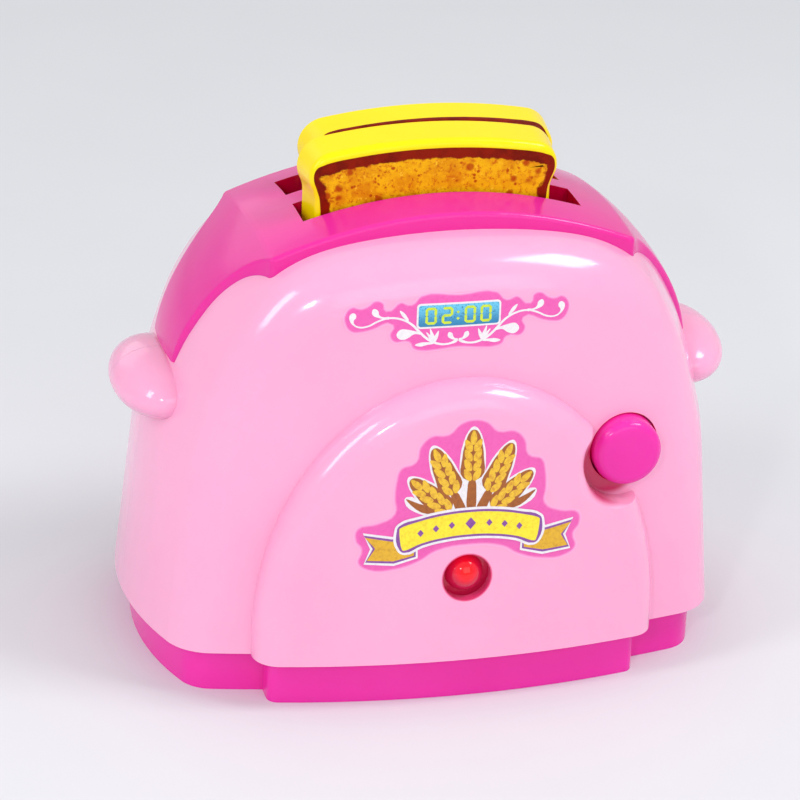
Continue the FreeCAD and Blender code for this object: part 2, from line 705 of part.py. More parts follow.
def make_screw(name, radius, head_radius, head, length, at):
    """A round-headed self-tapping screw with its head's underside at the given height."""
    return turned(name, "XZ_Plane", "V_Axis", [
        (0, -head), (head_radius * 0.6, -head), (head_radius, -head * 0.4), (head_radius, 0),
        (radius, 0), (radius, length - 1.5), (0, length),
    ], at)


def make_fasteners():
    head = 1.6
    base_screw = make_screw("base_screw", S.screw_radius, S.head_radius, head, 12,
                            (S.corner_screw_x, -S.corner_screw_y, 5))
    four_corners("base_screws", base_screw)
    make_screw("door_screw", S.screw_radius, S.head_radius, 0.95, 8.0, (DOOR_TAB_X, DOOR_TAB_Y, 1.0))

    # These lie along Y with their heads to the rear.
    joint = []
    for name, x, z in (("low", 45, 23.5), ("high", 43, 62)):
        screw = turned(name + "_joint_screw", "YZ_Plane", "H_Axis", [
            (head, 0), (head, S.head_radius * 0.6), (head * 0.4, S.head_radius), (0, S.head_radius),
            (0, S.screw_radius), (-15, S.screw_radius), (-16.5, 0),
        ], (x, 6, z))
        joint.append(both_sides(name + "_joint_screws", screw))
    group("shell_screws", *joint)
    small = []
    for name, x, y, z in (("frame_left", S.button_x - 7.5, -19.5, S.button_z + 8.5),
                          ("frame_right", S.button_x + 7.5, -19.5, S.button_z + 8.5),
                          ("board_left", -10, -28.0, 33.5), ("board_right", 10, -28.0, 33.5)):
        small.append(turned(name + "_screw", "YZ_Plane", "H_Axis", [
            (1.1, 0), (1.1, 1.0), (0.4, 1.7), (0, 1.7), (0, 0.8), (-6, 0.8), (-7, 0),
        ], (x, y, z)))
    group("small_screws", *small)


# ---------------------------------------------------------------------------------------------------
# Lift: carriage, rods, spring and the two slices
# ---------------------------------------------------------------------------------------------------

def make_lift():
    floor_top = S.slice_seat
    floor_bottom = S.slice_seat - S.carriage_floor
    outer_y = S.slice_near + S.slice_thickness + 0.6
    rail = 1.4
    pieces = [
        block("carriage_plate", (-33.8, -outer_y - rail, floor_bottom), (33.8, outer_y + rail, floor_top)),
        block("middle_rail", (-27, 0.7 - S.slice_near, floor_top), (27, S.slice_near - 0.7, floor_top + 5)),
        block("front_rail", (-27, -outer_y - rail, floor_top), (27, -outer_y, floor_top + 5)),
        block("rear_rail", (-27, outer_y, floor_top), (27, outer_y + rail, floor_top + 5)),
        block("catch_tab", (S.button_x - 3.6, -14.8, floor_top - 5), (S.button_x - 1.2, -12, floor_top - 3.5)),
        block("catch_hanger", (S.button_x - 3.6, -12.9, floor_top - 5), (S.button_x - 1.2, -12, floor_top - 2)),
        cylinder("spring_cup", "Z", (0, 0, floor_bottom - 3), 3.6, 4),
        both_sides("sleeves", cylinder("sleeve", "Z", (S.rod_offset, 0, floor_bottom - 2), 3.5, 9)),
    ]
    ways = [
        both_sides("rod_ways", cylinder("rod_way", "Z", (S.rod_offset, 0, 40), S.rod_radius + 0.15, 30)),
        block("rear_pocket", (-29, S.slice_near - 0.7, floor_top - S.rear_seat_drop), (29, outer_y, floor_top + 1)),
    ]
    cut("carriage", fuse("carriage_solid", *pieces), *ways)

    rod = body("guide_rod")
    section = sketch(rod, "rod_section", "XY_Plane")
    ring(section, (0, 0), S.rod_radius)
    pad(rod, section, "rod_length", 70)
    place(rod, (S.rod_offset, 0, 13.2))
    both_sides("guide_rods", rod)

    wire = 0.45
    height = floor_bottom - S.bay_top - 2 * wire - 0.2
    spring = coil("carriage_spring", 5.0, wire, 6, height)
    place(spring, (0, 0, S.bay_top + wire + 0.1))


def bend(centre, radius, start, end):
    """An arc in an upright plane, from one angle to the other in degrees."""
    points = []
    for angle in (start, (start + end) / 2, end):
        turn = math.radians(angle)
        points.append(centre + Vector(radius * math.cos(turn), 0, radius * math.sin(turn)))
    return Part.Arc(*points).toShape()


def bread_face():
    """A slice seen from the front: a flat foot, upright sides, and a crown that bulges over them."""
    half, height = S.slice_half_width.value, S.slice_height.value
    corner, waist, shoulder, crown, overhang = 2.0, 6.0, 4.6, 110.0, 1.2
    crown_middle = Vector(0, 0, height - crown)
    shoulder_x = half + overhang - shoulder
    rise = math.sqrt((crown - shoulder) ** 2 - shoulder_x ** 2)
    shoulder_middle = crown_middle + Vector(shoulder_x, 0, rise)
    crown_end = math.degrees(math.atan2(rise, shoulder_x))
    across = half + waist - shoulder_x
    fall = math.sqrt((waist + shoulder) ** 2 - across ** 2)
    waist_middle = shoulder_middle + Vector(across, 0, -fall)
    tuck = math.degrees(math.atan2(fall, across))
    foot_end = Vector(half - corner, 0, 0)
    right = [
        bend(Vector(half - corner, 0, corner), corner, -90, 0),
        Part.makeLine(Vector(half, 0, corner), Vector(half, 0, waist_middle.z)),
        bend(waist_middle, waist, 180, 180 - tuck),
        bend(shoulder_middle, shoulder, -tuck, crown_end),
    ]
    left = [edge.mirror(Vector(), Vector(1, 0, 0)) for edge in right]
    top = bend(crown_middle, crown, crown_end, 180 - crown_end)
    foot = Part.makeLine(Vector(-foot_end.x, 0, 0), foot_end)
    return Part.Wire(Part.__sortEdges__([foot, top] + right + left))


def make_slices():
    face = formed("bread_face", bread_face())
    for name, sign, drop in (("front_slice", -1, 0), ("rear_slice", 1, S.rear_seat_drop)):
        solid = DOC.addObject("Part::Extrusion", name + "_block")
        solid.Base = face
        solid.DirMode = "Custom"
        solid.Dir = Vector(0, 1, 0)
        solid.Solid = True
        bind(solid, LengthFwd=S.slice_thickness, TaperAngle=S.slice_draft)
        piece = rounded(name, solid, 1.4, lambda edge: edge.BoundBox.YMax < 0.01)
        front = -(S.slice_near + S.slice_thickness) if sign < 0 else S.slice_near
        rise = 0.98
        place(piece, (sign * S.slice_shift, front, S.slice_seat - drop + rise))


# ---------------------------------------------------------------------------------------------------
# Button, latch and lamp
# ---------------------------------------------------------------------------------------------------

def make_button():
    flange = sized(-27.2)
    face = -S.button_face
    radius = S.button_radius
    turning = turned("button_turning", "YZ_Plane", "H_Axis", [
        (face, 0), (face, radius), (flange, radius), (flange, 8.3), (flange + 1.2, 8.3), (flange + 1.2, 2.5),
        (-20.5, 2.5), (-20.5, 1.0), (-18.5, 1.0), (-18.5, 0),
    ], (S.button_x, 0, S.button_z))
    rounded("eject_button", turning, 1.7, lambda edge: edge.BoundBox.YMax < -S.button_face.value + 0.01)
    wire = 0.25
    height = sized(26.0 - 21.0 - 2 * wire - 0.1)
    spring = coil("button_spring", 4.2, wire, 3, height)
    place(spring, (S.button_x, -26.0 + wire + 0.05, S.button_z), ALONG["Y"])


def make_latch():
    frame_back = -19.5
    x, z = S.button_x, S.latch_axis_z
    plate = block("frame_plate", (x - 9.7, frame_back - 1.5, z - 1.5), (x + 9.7, frame_back, z + 19.7))
    cheek = block("right_cheek", (x + 2.3, frame_back - 1.5, z - 3.2), (x + 3.9, -15.2, z + 3.2))
    other = block("left_cheek", (x - 5.9, frame_back - 1.5, z - 3.2), (x - 4.3, -15.2, z + 3.2))
    holes = [
        cylinder("stem_hole", "Y", (x, -30, S.button_z), 2.8, 20),
        cylinder("frame_screw_left", "Y", (x - 7.5, -30, S.button_z + 8.5), 1.0, 20),
        cylinder("frame_screw_right", "Y", (x + 7.5, -30, S.button_z + 8.5), 1.0, 20),
        cylinder("pin_hole", "X", (x - 7, S.latch_axis_y, z), S.pin_radius + 0.02, 12),
    ]
    cut("latch_frame", fuse("frame_solid", plate, cheek, other), *holes)

    pin = body("latch_pin")
    section = sketch(pin, "pin_section", "YZ_Plane")
    ring(section, (0, 0), S.pin_radius)
    pad(pin, section, "pin_length", 10.6)
    place(pin, (x - 6.3, S.latch_axis_y, z))

    # The nose and hub are wide, the arm that the button pushes is narrow and clear of the catch tab.
    lever = body("latch_lever")
    nose = sketch(lever, "lever_nose", "YZ_Plane", offset=-3.8)
    outline(nose, [
        (-1.2, -7.7), (3.6, -7.7), (2.9, -6.5), (1.2, -6.3), (1.2, -2.0), (1.75, -0.9), (1.75, 0.9),
        (0.4, 2.2), (-1.2, 2.2),
    ])
    pad(lever, nose, "lever_nose_width", 5.6)
    arm = sketch(lever, "lever_arm", "YZ_Plane", offset=-0.8)
    outline(arm, [(-1.2, 1.5), (0.4, 1.5), (0.4, 9.3), (-0.2, 9.9), (-1.2, 9.9)])
    pad(lever, arm, "lever_arm_width", 2.6)
    bore = sketch(lever, "lever_bore", "YZ_Plane", offset=-5)
    ring(bore, (0, 0), S.pin_radius + 0.06)
    pocket(lever, bore, "lever_pin_way", 9, reverse=True)
    place(lever, (x, S.latch_axis_y, z))


def make_lamp():
    middle = (0, -36.8, S.lamp_z)
    balls = []
    for name, radius in (("lens_ball", 3.8), ("lens_hollow", 3.1)):
        ball = DOC.addObject("Part::Sphere", name)
        bind(ball, Radius=radius)
        balls.append(place(ball, middle))
    flange = cylinder("lens_flange", "Y", (0, -37.5, S.lamp_z), 5.6, 1.1)
    behind = cylinder("lens_back", "Y", (0, -36.8, S.lamp_z), 9, 9)
    dome = cut("lens_dome", balls[0], behind)
    cut("lamp_lens", fuse("lens_solid", dome, flange), balls[1], cylinder("lens_way", "Y", middle, 3.1, 5))
    turned("lamp_bulb", "YZ_Plane", "H_Axis", [
        (-38.9, 0), (-38.7, 0.9), (-38.2, 1.6), (-37.4, 2.1), (-36.5, 2.3), (-30.9, 2.5), (-30.9, 2.9), (-29.9, 2.9),
        (-29.9, 0),
    ], (0, 0, S.lamp_z))
    board = body("circuit_board")
    plan = sketch(board, "board_outline", "XZ_Plane", offset=28.0)
    outline(plan, [(-13, 15), (13, 15), (13, 37), (-13, 37)])
    pad(board, plan, "board_thickness", 1.5)
    holes = sketch(board, "board_holes_plan", "XZ_Plane", offset=27.0)
    ring(holes, (-10, 33.5), 1.0)
    ring(holes, (10, 33.5), 1.0)
    pocket(board, holes, "board_screw_ways", 5, reverse=True)
    leaf = block("upper_leaf", (-8, -28.0, 28.5), (-4, -12.5, 28.8))
    low = block("lower_leaf", (-8, -28.0, 26.0), (-4, -15.5, 26.3))
    group("switch_leaves", leaf, low)


def make_power():
    """Two AA cells side by side, head to tail, each pressed on its far plate by a spring."""
    cells, springs = [], []
    wire = 0.3
    for name, side, heading in (("front_cell", -1, -90), ("rear_cell", 1, 90)):
        at = (side * CELL_REACH, side * CELL_OFFSET, CELL_HEIGHT)
        cells.append(turned(name, "YZ_Plane", "H_Axis", [
            (0, 0), (0, 7.0), (49, 7.0), (49, 2.6), (50, 2.6), (50, 0),
        ], at, FreeCAD.Rotation(Vector(0, 0, 1), heading)))
        room = sized(30 - CELL_REACH - 0.2 - 2 * wire)
        spring = coil(name + "_spring", 3.6, wire, 4, room)
        start = side * (30 - 0.1 - wire)
        springs.append(place(spring, (start, side * CELL_OFFSET, CELL_HEIGHT),
                             FreeCAD.Rotation(Vector(0, 1, 0), -90 * side)))
    group("battery_cells", *cells)
    group("contact_springs", *springs)
    group("contact_plates", *[
        block("plus_plate", (30.0, -12.4, 5.2), (30.4, -3.4, 16.2)),
        block("minus_plate", (30.0, 3.4, 5.2), (30.4, 12.4, 16.2)),
        block("bridge_plate", (-30.4, -12.4, 5.2), (-30.0, 12.4, 16.2)),
    ])


def check_and_write():
    DOC.recompute()
    for item in DOC.Objects:
        if "Invalid" in item.State or "Error" in item.State:
            raise RuntimeError("%s did not build: %s" % (item.Label, item.State))
    os.makedirs("parts", exist_ok=True)
    for label in SUB_PARTS:
        found = DOC.getObjectsByLabel(label)
        shape = found[0].Shape
        if len(found) != 1 or shape.isNull() or not shape.isValid() or not shape.Solids:
            raise RuntimeError("%s is not a sound solid" % label)
        shape.exportStep(os.path.join("parts", label + ".step"))
        print("%-18s %d solid(s) %9.1f mm3" % (label, len(shape.Solids), shape.Volume))


SUB_PARTS = (
    "front_shell", "rear_shell", "top_cover", "base", "battery_door",
    "base_screws", "door_screw", "shell_screws", "small_screws",
    "carriage", "guide_rods", "carriage_spring", "front_slice", "rear_slice",
    "eject_button", "button_spring", "latch_frame", "latch_pin", "latch_lever",
    "lamp_lens", "lamp_bulb", "circuit_board", "switch_leaves", "battery_cells", "contact_springs", "contact_plates",
)

housing, end_lugs = make_shells()
make_cover(housing, end_lugs)
make_base()
make_battery_door()
make_fasteners()
make_lift()
make_slices()
make_button()
make_latch()
make_lamp()
make_power()
check_and_write()
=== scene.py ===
import math

import bpy
from mathutils import Matrix, Vector


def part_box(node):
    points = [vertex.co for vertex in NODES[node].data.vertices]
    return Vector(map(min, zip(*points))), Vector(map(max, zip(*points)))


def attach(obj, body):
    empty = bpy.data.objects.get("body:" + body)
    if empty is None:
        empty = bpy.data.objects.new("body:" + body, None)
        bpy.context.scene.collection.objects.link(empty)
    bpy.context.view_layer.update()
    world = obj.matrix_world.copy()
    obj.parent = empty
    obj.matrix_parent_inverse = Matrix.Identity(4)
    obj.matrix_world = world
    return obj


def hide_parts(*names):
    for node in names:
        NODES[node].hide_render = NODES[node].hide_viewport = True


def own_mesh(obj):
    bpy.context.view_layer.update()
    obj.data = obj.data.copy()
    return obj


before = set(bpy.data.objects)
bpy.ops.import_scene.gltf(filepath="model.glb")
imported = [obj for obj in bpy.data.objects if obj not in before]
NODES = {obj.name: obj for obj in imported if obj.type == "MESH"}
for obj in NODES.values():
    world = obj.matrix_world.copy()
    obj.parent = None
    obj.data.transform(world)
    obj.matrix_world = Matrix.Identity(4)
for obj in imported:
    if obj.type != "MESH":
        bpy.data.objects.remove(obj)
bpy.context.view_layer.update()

MM = 0.001


# ---------------------------------------------------------------------------------------------------
# Camera and studio
# ---------------------------------------------------------------------------------------------------

VIEW_SIDE, VIEW_RISE, VIEW_ROLL = -15.7928, 24.4912, -2.7890     # degrees
VIEW_DISTANCE = 0.7198235                                        # metres, from the target
VIEW_TARGET = Vector((0, 0, 0.048))
FOCAL_LENGTH, SENSOR_WIDTH = 167.459, 36                         # millimetres
PICTURE_SIDE = 800                                               # pixels, on a square picture
TARGET_PIXEL = (418.116, 383.302)                                # where the target falls, from the top left
LIGHT_TARGET = Vector((0, 0, 0.05))


def deselect():
    """Back to object mode with nothing selected."""
    if bpy.context.object and bpy.context.object.mode != "OBJECT":
        bpy.ops.object.mode_set(mode="OBJECT")
    bpy.ops.object.select_all(action="DESELECT")


def edit(action):
    """Edit mode on faces, with all or nothing selected."""
    bpy.ops.object.mode_set(mode="EDIT")
    bpy.ops.mesh.select_mode(type="FACE")
    bpy.ops.mesh.select_all(action=action)


def set_camera():
    """A long lens from the front left and above, rolled by a few degrees."""
    side, rise, roll = (math.radians(angle) for angle in (VIEW_SIDE, VIEW_RISE, VIEW_ROLL))
    back = Vector((math.sin(side) * math.cos(rise), -math.cos(side) * math.cos(rise), math.sin(rise)))
    right = Vector((math.cos(side), math.sin(side), 0))
    up = back.cross(right)
    across = right * math.cos(roll) - up * math.sin(roll)
    top = right * math.sin(roll) + up * math.cos(roll)
    bpy.ops.object.camera_add(location=VIEW_TARGET + back * VIEW_DISTANCE)
    camera = bpy.context.object
    camera.rotation_euler = Matrix((across, top, back)).transposed().to_euler()
    camera.data.sensor_width = SENSOR_WIDTH
    camera.data.lens = FOCAL_LENGTH
    camera.data.shift_x = (PICTURE_SIDE / 2 - TARGET_PIXEL[0]) / PICTURE_SIDE
    camera.data.shift_y = (TARGET_PIXEL[1] - PICTURE_SIDE / 2) / PICTURE_SIDE
    camera.data.clip_start = 0.01
    bpy.context.scene.camera = camera


def softbox(name, direction, distance, size, power):
    """A rectangular light that stands in that direction from the toy and looks at it."""
    place = Vector(direction).normalized() * distance + LIGHT_TARGET
    deselect()
    bpy.ops.object.light_add(type="AREA", location=place)
    lamp = bpy.context.object
    lamp.name = name
    lamp.rotation_euler = (place - LIGHT_TARGET).to_track_quat("Z", "Y").to_euler()
    lamp.data.shape = "RECTANGLE"
    lamp.data.size, lamp.data.size_y = size
    lamp.data.energy = power


def set_studio():
    """A pale table in even air, four soft lights, and a small one that glints in the lens."""
    deselect()
    bpy.ops.mesh.primitive_plane_add(size=6, location=(0, 1.2, 0))
    floor = bpy.context.object
    floor.name = "studio_floor"
    bpy.ops.object.transform_apply(location=True, rotation=True, scale=True)
    floor.data.materials.append(floor_finish())
    world = bpy.data.worlds.new("studio_air")
    bpy.context.scene.world = world
    world.use_nodes = True
    air = world.node_tree.nodes["Background"]
    air.inputs["Color"].default_value = (0.90, 0.90, 0.90, 1)
    air.inputs["Strength"].default_value = 0.72
    softbox("top_light", direction=(0.56, -0.26, 0.80), distance=0.75, size=(0.26, 0.24), power=2.1)
    softbox("left_light", direction=(-0.78, -0.28, 0.56), distance=0.80, size=(0.16, 0.42), power=1.6)
    softbox("front_fill", direction=(0.15, -0.92, 0.36), distance=1.30, size=(0.9, 0.7), power=2.2)
    softbox("back_fill", direction=(-0.30, 0.90, 0.42), distance=1.20, size=(0.7, 0.5), power=0.7)
    softbox("lens_spark", direction=(-0.42, -0.78, 0.46), distance=0.80, size=(0.05, 0.05), power=0.8)
    bpy.context.scene.view_settings.view_transform = "Standard"


# ---------------------------------------------------------------------------------------------------
# Tools for the finishes
# ---------------------------------------------------------------------------------------------------

def tone(red, green, blue):
    """A screen colour, 0 to 255, as the linear values a shader takes."""
    shades = []
    for level in (red, green, blue):
        level /= 255
        shades.append(level / 12.92 if level <= 0.04045 else ((level + 0.055) / 1.055) ** 2.4)
    return (*shades, 1)


def add(tree, kind, **settings):
    """A shader node with its settings; names that match an input set that input."""
    item = tree.nodes.new(kind)
    for name, value in settings.items():
        socket = item.inputs.get(name.replace("_", " "))
        if socket is None:
            setattr(item, name, value)
        else:
            socket.default_value = value
    return item


def join(tree, start, end):
    """Links an output to an input."""
    tree.links.new(start, end)


def ramp_mask(tree, value, start, full):
    """0 on start's side, 1 on full's side, and a smooth change between them; full may be the lower one."""
    step = add(tree, "ShaderNodeMapRange", From_Min=start, From_Max=full, interpolation_type="SMOOTHSTEP")
    join(tree, value, step.inputs["Value"])
    return step.outputs["Result"]


def blended(tree, factor, first, second):
    """Two colours, or colour sockets, mixed by a mask."""
    mix = add(tree, "ShaderNodeMix", data_type="RGBA")
    join(tree, factor, mix.inputs["Factor"])
    for end, colour in (("A", first), ("B", second)):
        if isinstance(colour, tuple):
            mix.inputs[end].default_value = tone(*colour)
        else:
            join(tree, colour, mix.inputs[end])
    return mix.outputs["Result"]


def sampled(tree, kind, **settings):
    """A texture that reads the piece's own coordinates."""
    place = add(tree, "ShaderNodeTexCoord")
    texture = add(tree, kind, **settings)
    join(tree, place.outputs["Object"], texture.inputs["Vector"])
    return texture


def group_of(name, inputs, outputs):
    """An empty node group with named sockets, and its two ends."""
    tree = bpy.data.node_groups.new(name, "ShaderNodeTree")
    for title, kind, value in inputs:
        socket = tree.interface.new_socket(title, in_out="INPUT", socket_type=kind)
        if value is not None:
            socket.default_value = value
    for title, kind in outputs:
        tree.interface.new_socket(title, in_out="OUTPUT", socket_type=kind)
    return tree, tree.nodes.new("NodeGroupInput"), tree.nodes.new("NodeGroupOutput")


def moulded_grain():
    """The skin of an injection moulding: a fine stipple over slow sink waves, as a height."""
    tree, start, end = group_of(
        "moulded_grain",
        [("Stipple", "NodeSocketFloat", 0.2), ("Waves", "NodeSocketFloat", 0.5)],
        [("Height", "NodeSocketFloat")],
    )
    place = add(tree, "ShaderNodeTexCoord")
    fine = add(tree, "ShaderNodeTexNoise", Scale=5200.0, Detail=2.0, Roughness=0.6)
    slow = add(tree, "ShaderNodeTexNoise", Scale=38.0, Detail=1.0, Roughness=0.4)
    near = add(tree, "ShaderNodeMath", operation="MULTIPLY")
    far = add(tree, "ShaderNodeMath", operation="MULTIPLY")
    both = add(tree, "ShaderNodeMath", operation="ADD")
    join(tree, place.outputs["Object"], fine.inputs["Vector"])
    join(tree, place.outputs["Object"], slow.inputs["Vector"])
    join(tree, fine.outputs["Fac"], near.inputs[0])
    join(tree, start.outputs["Stipple"], near.inputs[1])
    join(tree, slow.outputs["Fac"], far.inputs[0])
    join(tree, start.outputs["Waves"], far.inputs[1])
    join(tree, near.outputs[0], both.inputs[0])
    join(tree, far.outputs[0], both.inputs[1])
    join(tree, both.outputs[0], end.inputs["Height"])
    return tree


def handled_skin():
    """Uneven dye and the faint rubbing of small hands: shifts a colour and a roughness a little."""
    tree, start, end = group_of(
        "handled_skin",
        [("Color", "NodeSocketColor", None), ("Deep", "NodeSocketColor", None),
         ("Dye", "NodeSocketFloat", 0.5), ("Gloss", "NodeSocketFloat", 0.25),
         ("Rubbing", "NodeSocketFloat", 0.08)],
        [("Color", "NodeSocketColor"), ("Roughness", "NodeSocketFloat")],
    )
    place = add(tree, "ShaderNodeTexCoord")
    dye = add(tree, "ShaderNodeTexNoise", Scale=26.0, Detail=3.0, Roughness=0.55)
    rub = add(tree, "ShaderNodeTexNoise", Scale=140.0, Detail=4.0, Roughness=0.65, Distortion=0.6)
    spread = add(tree, "ShaderNodeMapRange", From_Min=0.35, From_Max=0.65)
    share = add(tree, "ShaderNodeMath", operation="MULTIPLY")
    blend = add(tree, "ShaderNodeMix", data_type="RGBA")
    scuff = add(tree, "ShaderNodeMath", operation="MULTIPLY")
    rough = add(tree, "ShaderNodeMath", operation="ADD")
    join(tree, place.outputs["Object"], dye.inputs["Vector"])
    join(tree, place.outputs["Object"], rub.inputs["Vector"])
    join(tree, dye.outputs["Fac"], spread.inputs["Value"])
    join(tree, spread.outputs["Result"], share.inputs[0])
    join(tree, start.outputs["Dye"], share.inputs[1])
    join(tree, share.outputs[0], blend.inputs["Factor"])
    join(tree, start.outputs["Color"], blend.inputs["A"])
    join(tree, start.outputs["Deep"], blend.inputs["B"])
    join(tree, rub.outputs["Fac"], scuff.inputs[0])
    join(tree, start.outputs["Rubbing"], scuff.inputs[1])
    join(tree, scuff.outputs[0], rough.inputs[0])
    join(tree, start.outputs["Gloss"], rough.inputs[1])
    join(tree, blend.outputs["Result"], end.inputs["Color"])
    join(tree, rough.outputs[0], end.inputs["Roughness"])
    return tree


def axis_distance():
    """How far a point is from an axis that runs from front to back."""
    tree, start, end = group_of(
        "axis_distance",
        [("Across", "NodeSocketFloat", 0.0), ("Up", "NodeSocketFloat", 0.0)],
        [("Distance", "NodeSocketFloat")],
    )
    place = add(tree, "ShaderNodeTexCoord")
    here = add(tree, "ShaderNodeSeparateXYZ")
    flat = add(tree, "ShaderNodeCombineXYZ")
    axis = add(tree, "ShaderNodeCombineXYZ")
    apart = add(tree, "ShaderNodeVectorMath", operation="DISTANCE")
    join(tree, place.outputs["Object"], here.inputs[0])
    join(tree, here.outputs["X"], flat.inputs["X"])
    join(tree, here.outputs["Z"], flat.inputs["Z"])
    join(tree, start.outputs["Across"], axis.inputs["X"])
    join(tree, start.outputs["Up"], axis.inputs["Z"])
    join(tree, flat.outputs[0], apart.inputs[0])
    join(tree, axis.outputs[0], apart.inputs[1])
    join(tree, apart.outputs["Value"], end.inputs["Distance"])
    return tree


def print_mottle():
    """Uneven printed ink: a colour that drifts to a deeper one in small clouds."""
    tree, start, end = group_of(
        "print_mottle",
        [("Color", "NodeSocketColor", None), ("Deep", "NodeSocketColor", None),
         ("Least", "NodeSocketFloat", 0.3), ("Most", "NodeSocketFloat", 0.9)],
        [("Color", "NodeSocketColor")],
    )
    place = add(tree, "ShaderNodeTexCoord")
    cloud = add(tree, "ShaderNodeTexNoise", Scale=1500.0, Detail=3.0, Roughness=0.6)
    spread = add(tree, "ShaderNodeMapRange", interpolation_type="SMOOTHSTEP")
    blend = add(tree, "ShaderNodeMix", data_type="RGBA")
    join(tree, place.outputs["Object"], cloud.inputs["Vector"])
    join(tree, cloud.outputs["Fac"], spread.inputs["Value"])
    join(tree, start.outputs["Least"], spread.inputs["From Min"])
    join(tree, start.outputs["Most"], spread.inputs["From Max"])
    join(tree, spread.outputs["Result"], blend.inputs["Factor"])
    join(tree, start.outputs["Color"], blend.inputs["A"])
    join(tree, start.outputs["Deep"], blend.inputs["B"])
    join(tree, blend.outputs["Result"], end.inputs["Color"])
    return tree


GRAIN = moulded_grain()
SKIN = handled_skin()
FROM_AXIS = axis_distance()
MOTTLE = print_mottle()


def blank(name):
    """A new material, its node tree and its shader."""
    material = bpy.data.materials.new(name)
    material.use_nodes = True
    return material, material.node_tree, material.node_tree.nodes["Principled BSDF"]


def dress_skin(tree, shader, colour, deep, dye, gloss, rubbing):
    """Colour and roughness of a shader through the shared skin."""
    skin = add(tree, "ShaderNodeGroup", node_tree=SKIN)
    skin.inputs["Color"].default_value = tone(*colour)
    skin.inputs["Deep"].default_value = tone(*deep)
    skin.inputs["Dye"].default_value = dye
    skin.inputs["Gloss"].default_value = gloss
    skin.inputs["Rubbing"].default_value = rubbing
    join(tree, skin.outputs["Color"], shader.inputs["Base Color"])
    join(tree, skin.outputs["Roughness"], shader.inputs["Roughness"])


def dress_grain(tree, shader, stipple, waves, depth):
    """The shared moulding grain as a shader's normal."""
    grain = add(tree, "ShaderNodeGroup", node_tree=GRAIN)
    grain.inputs["Stipple"].default_value = stipple
    grain.inputs["Waves"].default_value = waves
    bump = add(tree, "ShaderNodeBump", Strength=depth, Distance=0.001)
    join(tree, grain.outputs["Height"], bump.inputs["Height"])
    join(tree, bump.outputs["Normal"], shader.inputs["Normal"])


# ---------------------------------------------------------------------------------------------------
# Finishes
# ---------------------------------------------------------------------------------------------------

# A plastic's colour, and the deeper one that its dye drifts to
PALE_PINK = ((251, 172, 210), (248, 161, 201))
ROSE_PINK = ((232, 46, 158), (224, 36, 148))
DEEP_PINK = ((238, 48, 170), (230, 38, 160))
# Axes that run from front to back: across and up, in millimetres; round them lie the painted shade of the
# hollow beside the button, the painted glow in the button's bore, the painted shade in the lamp hole and the
# painted glow of the lens
HOLLOW_SHADE_AXIS = (29.5, 43.7)
BUTTON_AXIS = (32.1, 46.5)
LAMP_AXIS = (0, 26.3)
GLOW_AXIS = (-0.2, 27.6)
# What bounds the painted shade inside the bread slots: an axis, whether both sides of the toy count, and the
# places in millimetres where the crimson painted shade starts and is full
SLOT_SHADE_LIMITS = (("X", True, 26.88, 26.84), ("Y", True, 2.67, 2.71),
              ("Y", False, -11.68, -11.64), ("Y", False, 12.68, 12.64))
# The display's blue is darkest at its foot and lightest at its head
SCREEN_FOOT, SCREEN_HEAD = 74.4, 78.6


def floor_finish():
    """A matt, pale table top."""
    material, tree, shader = blank("pale_table")
    dress_skin(tree, shader, (222, 224, 229), (220, 222, 227), dye=0.5, gloss=0.68, rubbing=0.05)
    return material


def plastic(name, colour, deep, gloss, rubbing=0.06, stipple=0.15, depth=0.02, coat=0.0, shine=0.5, glow=0.0):
    """Coloured moulded plastic; glow is how much light passes under its skin."""
    material, tree, shader = blank(name)
    dress_skin(tree, shader, colour, deep, dye=0.5, gloss=gloss, rubbing=rubbing)
    dress_grain(tree, shader, stipple, waves=0.5, depth=depth)
    shader.inputs["Coat Weight"].default_value = coat
    shader.inputs["Coat Roughness"].default_value = 0.06
    shader.inputs["Specular IOR Level"].default_value = shine
    shader.inputs["Subsurface Weight"].default_value = glow
    shader.inputs["Subsurface Radius"].default_value = (1.0, 0.3, 0.45)
    shader.inputs["Subsurface Scale"].default_value = 1.5 * MM
    return material


def metal(name, colour, deep, gloss=0.25):
    """Rolled or drawn metal, rubbed more than the plastics."""
    material = plastic(name, colour, deep, gloss, rubbing=0.2, stipple=0.4, depth=0.03)
    material.node_tree.nodes["Principled BSDF"].inputs["Metallic"].default_value = 1.0
    return material


def near_axis(tree, axis, inside, outside):
    """1 within one distance of a front-to-back axis, 0 beyond another; all in millimetres."""
    around = add(tree, "ShaderNodeGroup", node_tree=FROM_AXIS)
    around.inputs["Across"].default_value = axis[0] * MM
    around.inputs["Up"].default_value = axis[1] * MM
    return ramp_mask(tree, around.outputs["Distance"], outside * MM, inside * MM)


def paint_hollow_shade(material):
    """Painted shade in the front half's hollows: deeper pink beside the button, with the button's pink
    painted in as a reflection, and in the lamp hole; and a painted glow in the button's bore.
    """
    tree = material.node_tree
    shader = tree.nodes["Principled BSDF"]
    colour = shader.inputs["Base Color"].links[0].from_socket
    # Painted shade, with a painted reflection of the button, in the hollow beside it, and painted shade in
    # the lamp hole
    hollow_shade = near_axis(tree, HOLLOW_SHADE_AXIS, inside=5.3, outside=6.9)
    colour = blended(tree, hollow_shade, colour, (194, 18, 90))
    lamp_hole_shade = near_axis(tree, LAMP_AXIS, inside=4.7, outside=5.05)
    colour = blended(tree, lamp_hole_shade, colour, (226, 66, 124))
    join(tree, colour, shader.inputs["Base Color"])
    # Painted glow: a crimson emission in the bore stands for light that passes through the wall and keeps it
    # from going black
    bore_glow = near_axis(tree, BUTTON_AXIS, inside=7.03, outside=7.09)
    join(tree, blended(tree, bore_glow, (0, 0, 0), (112, 0, 30)), shader.inputs["Emission Color"])
    shader.inputs["Emission Strength"].default_value = 1.0
    return material


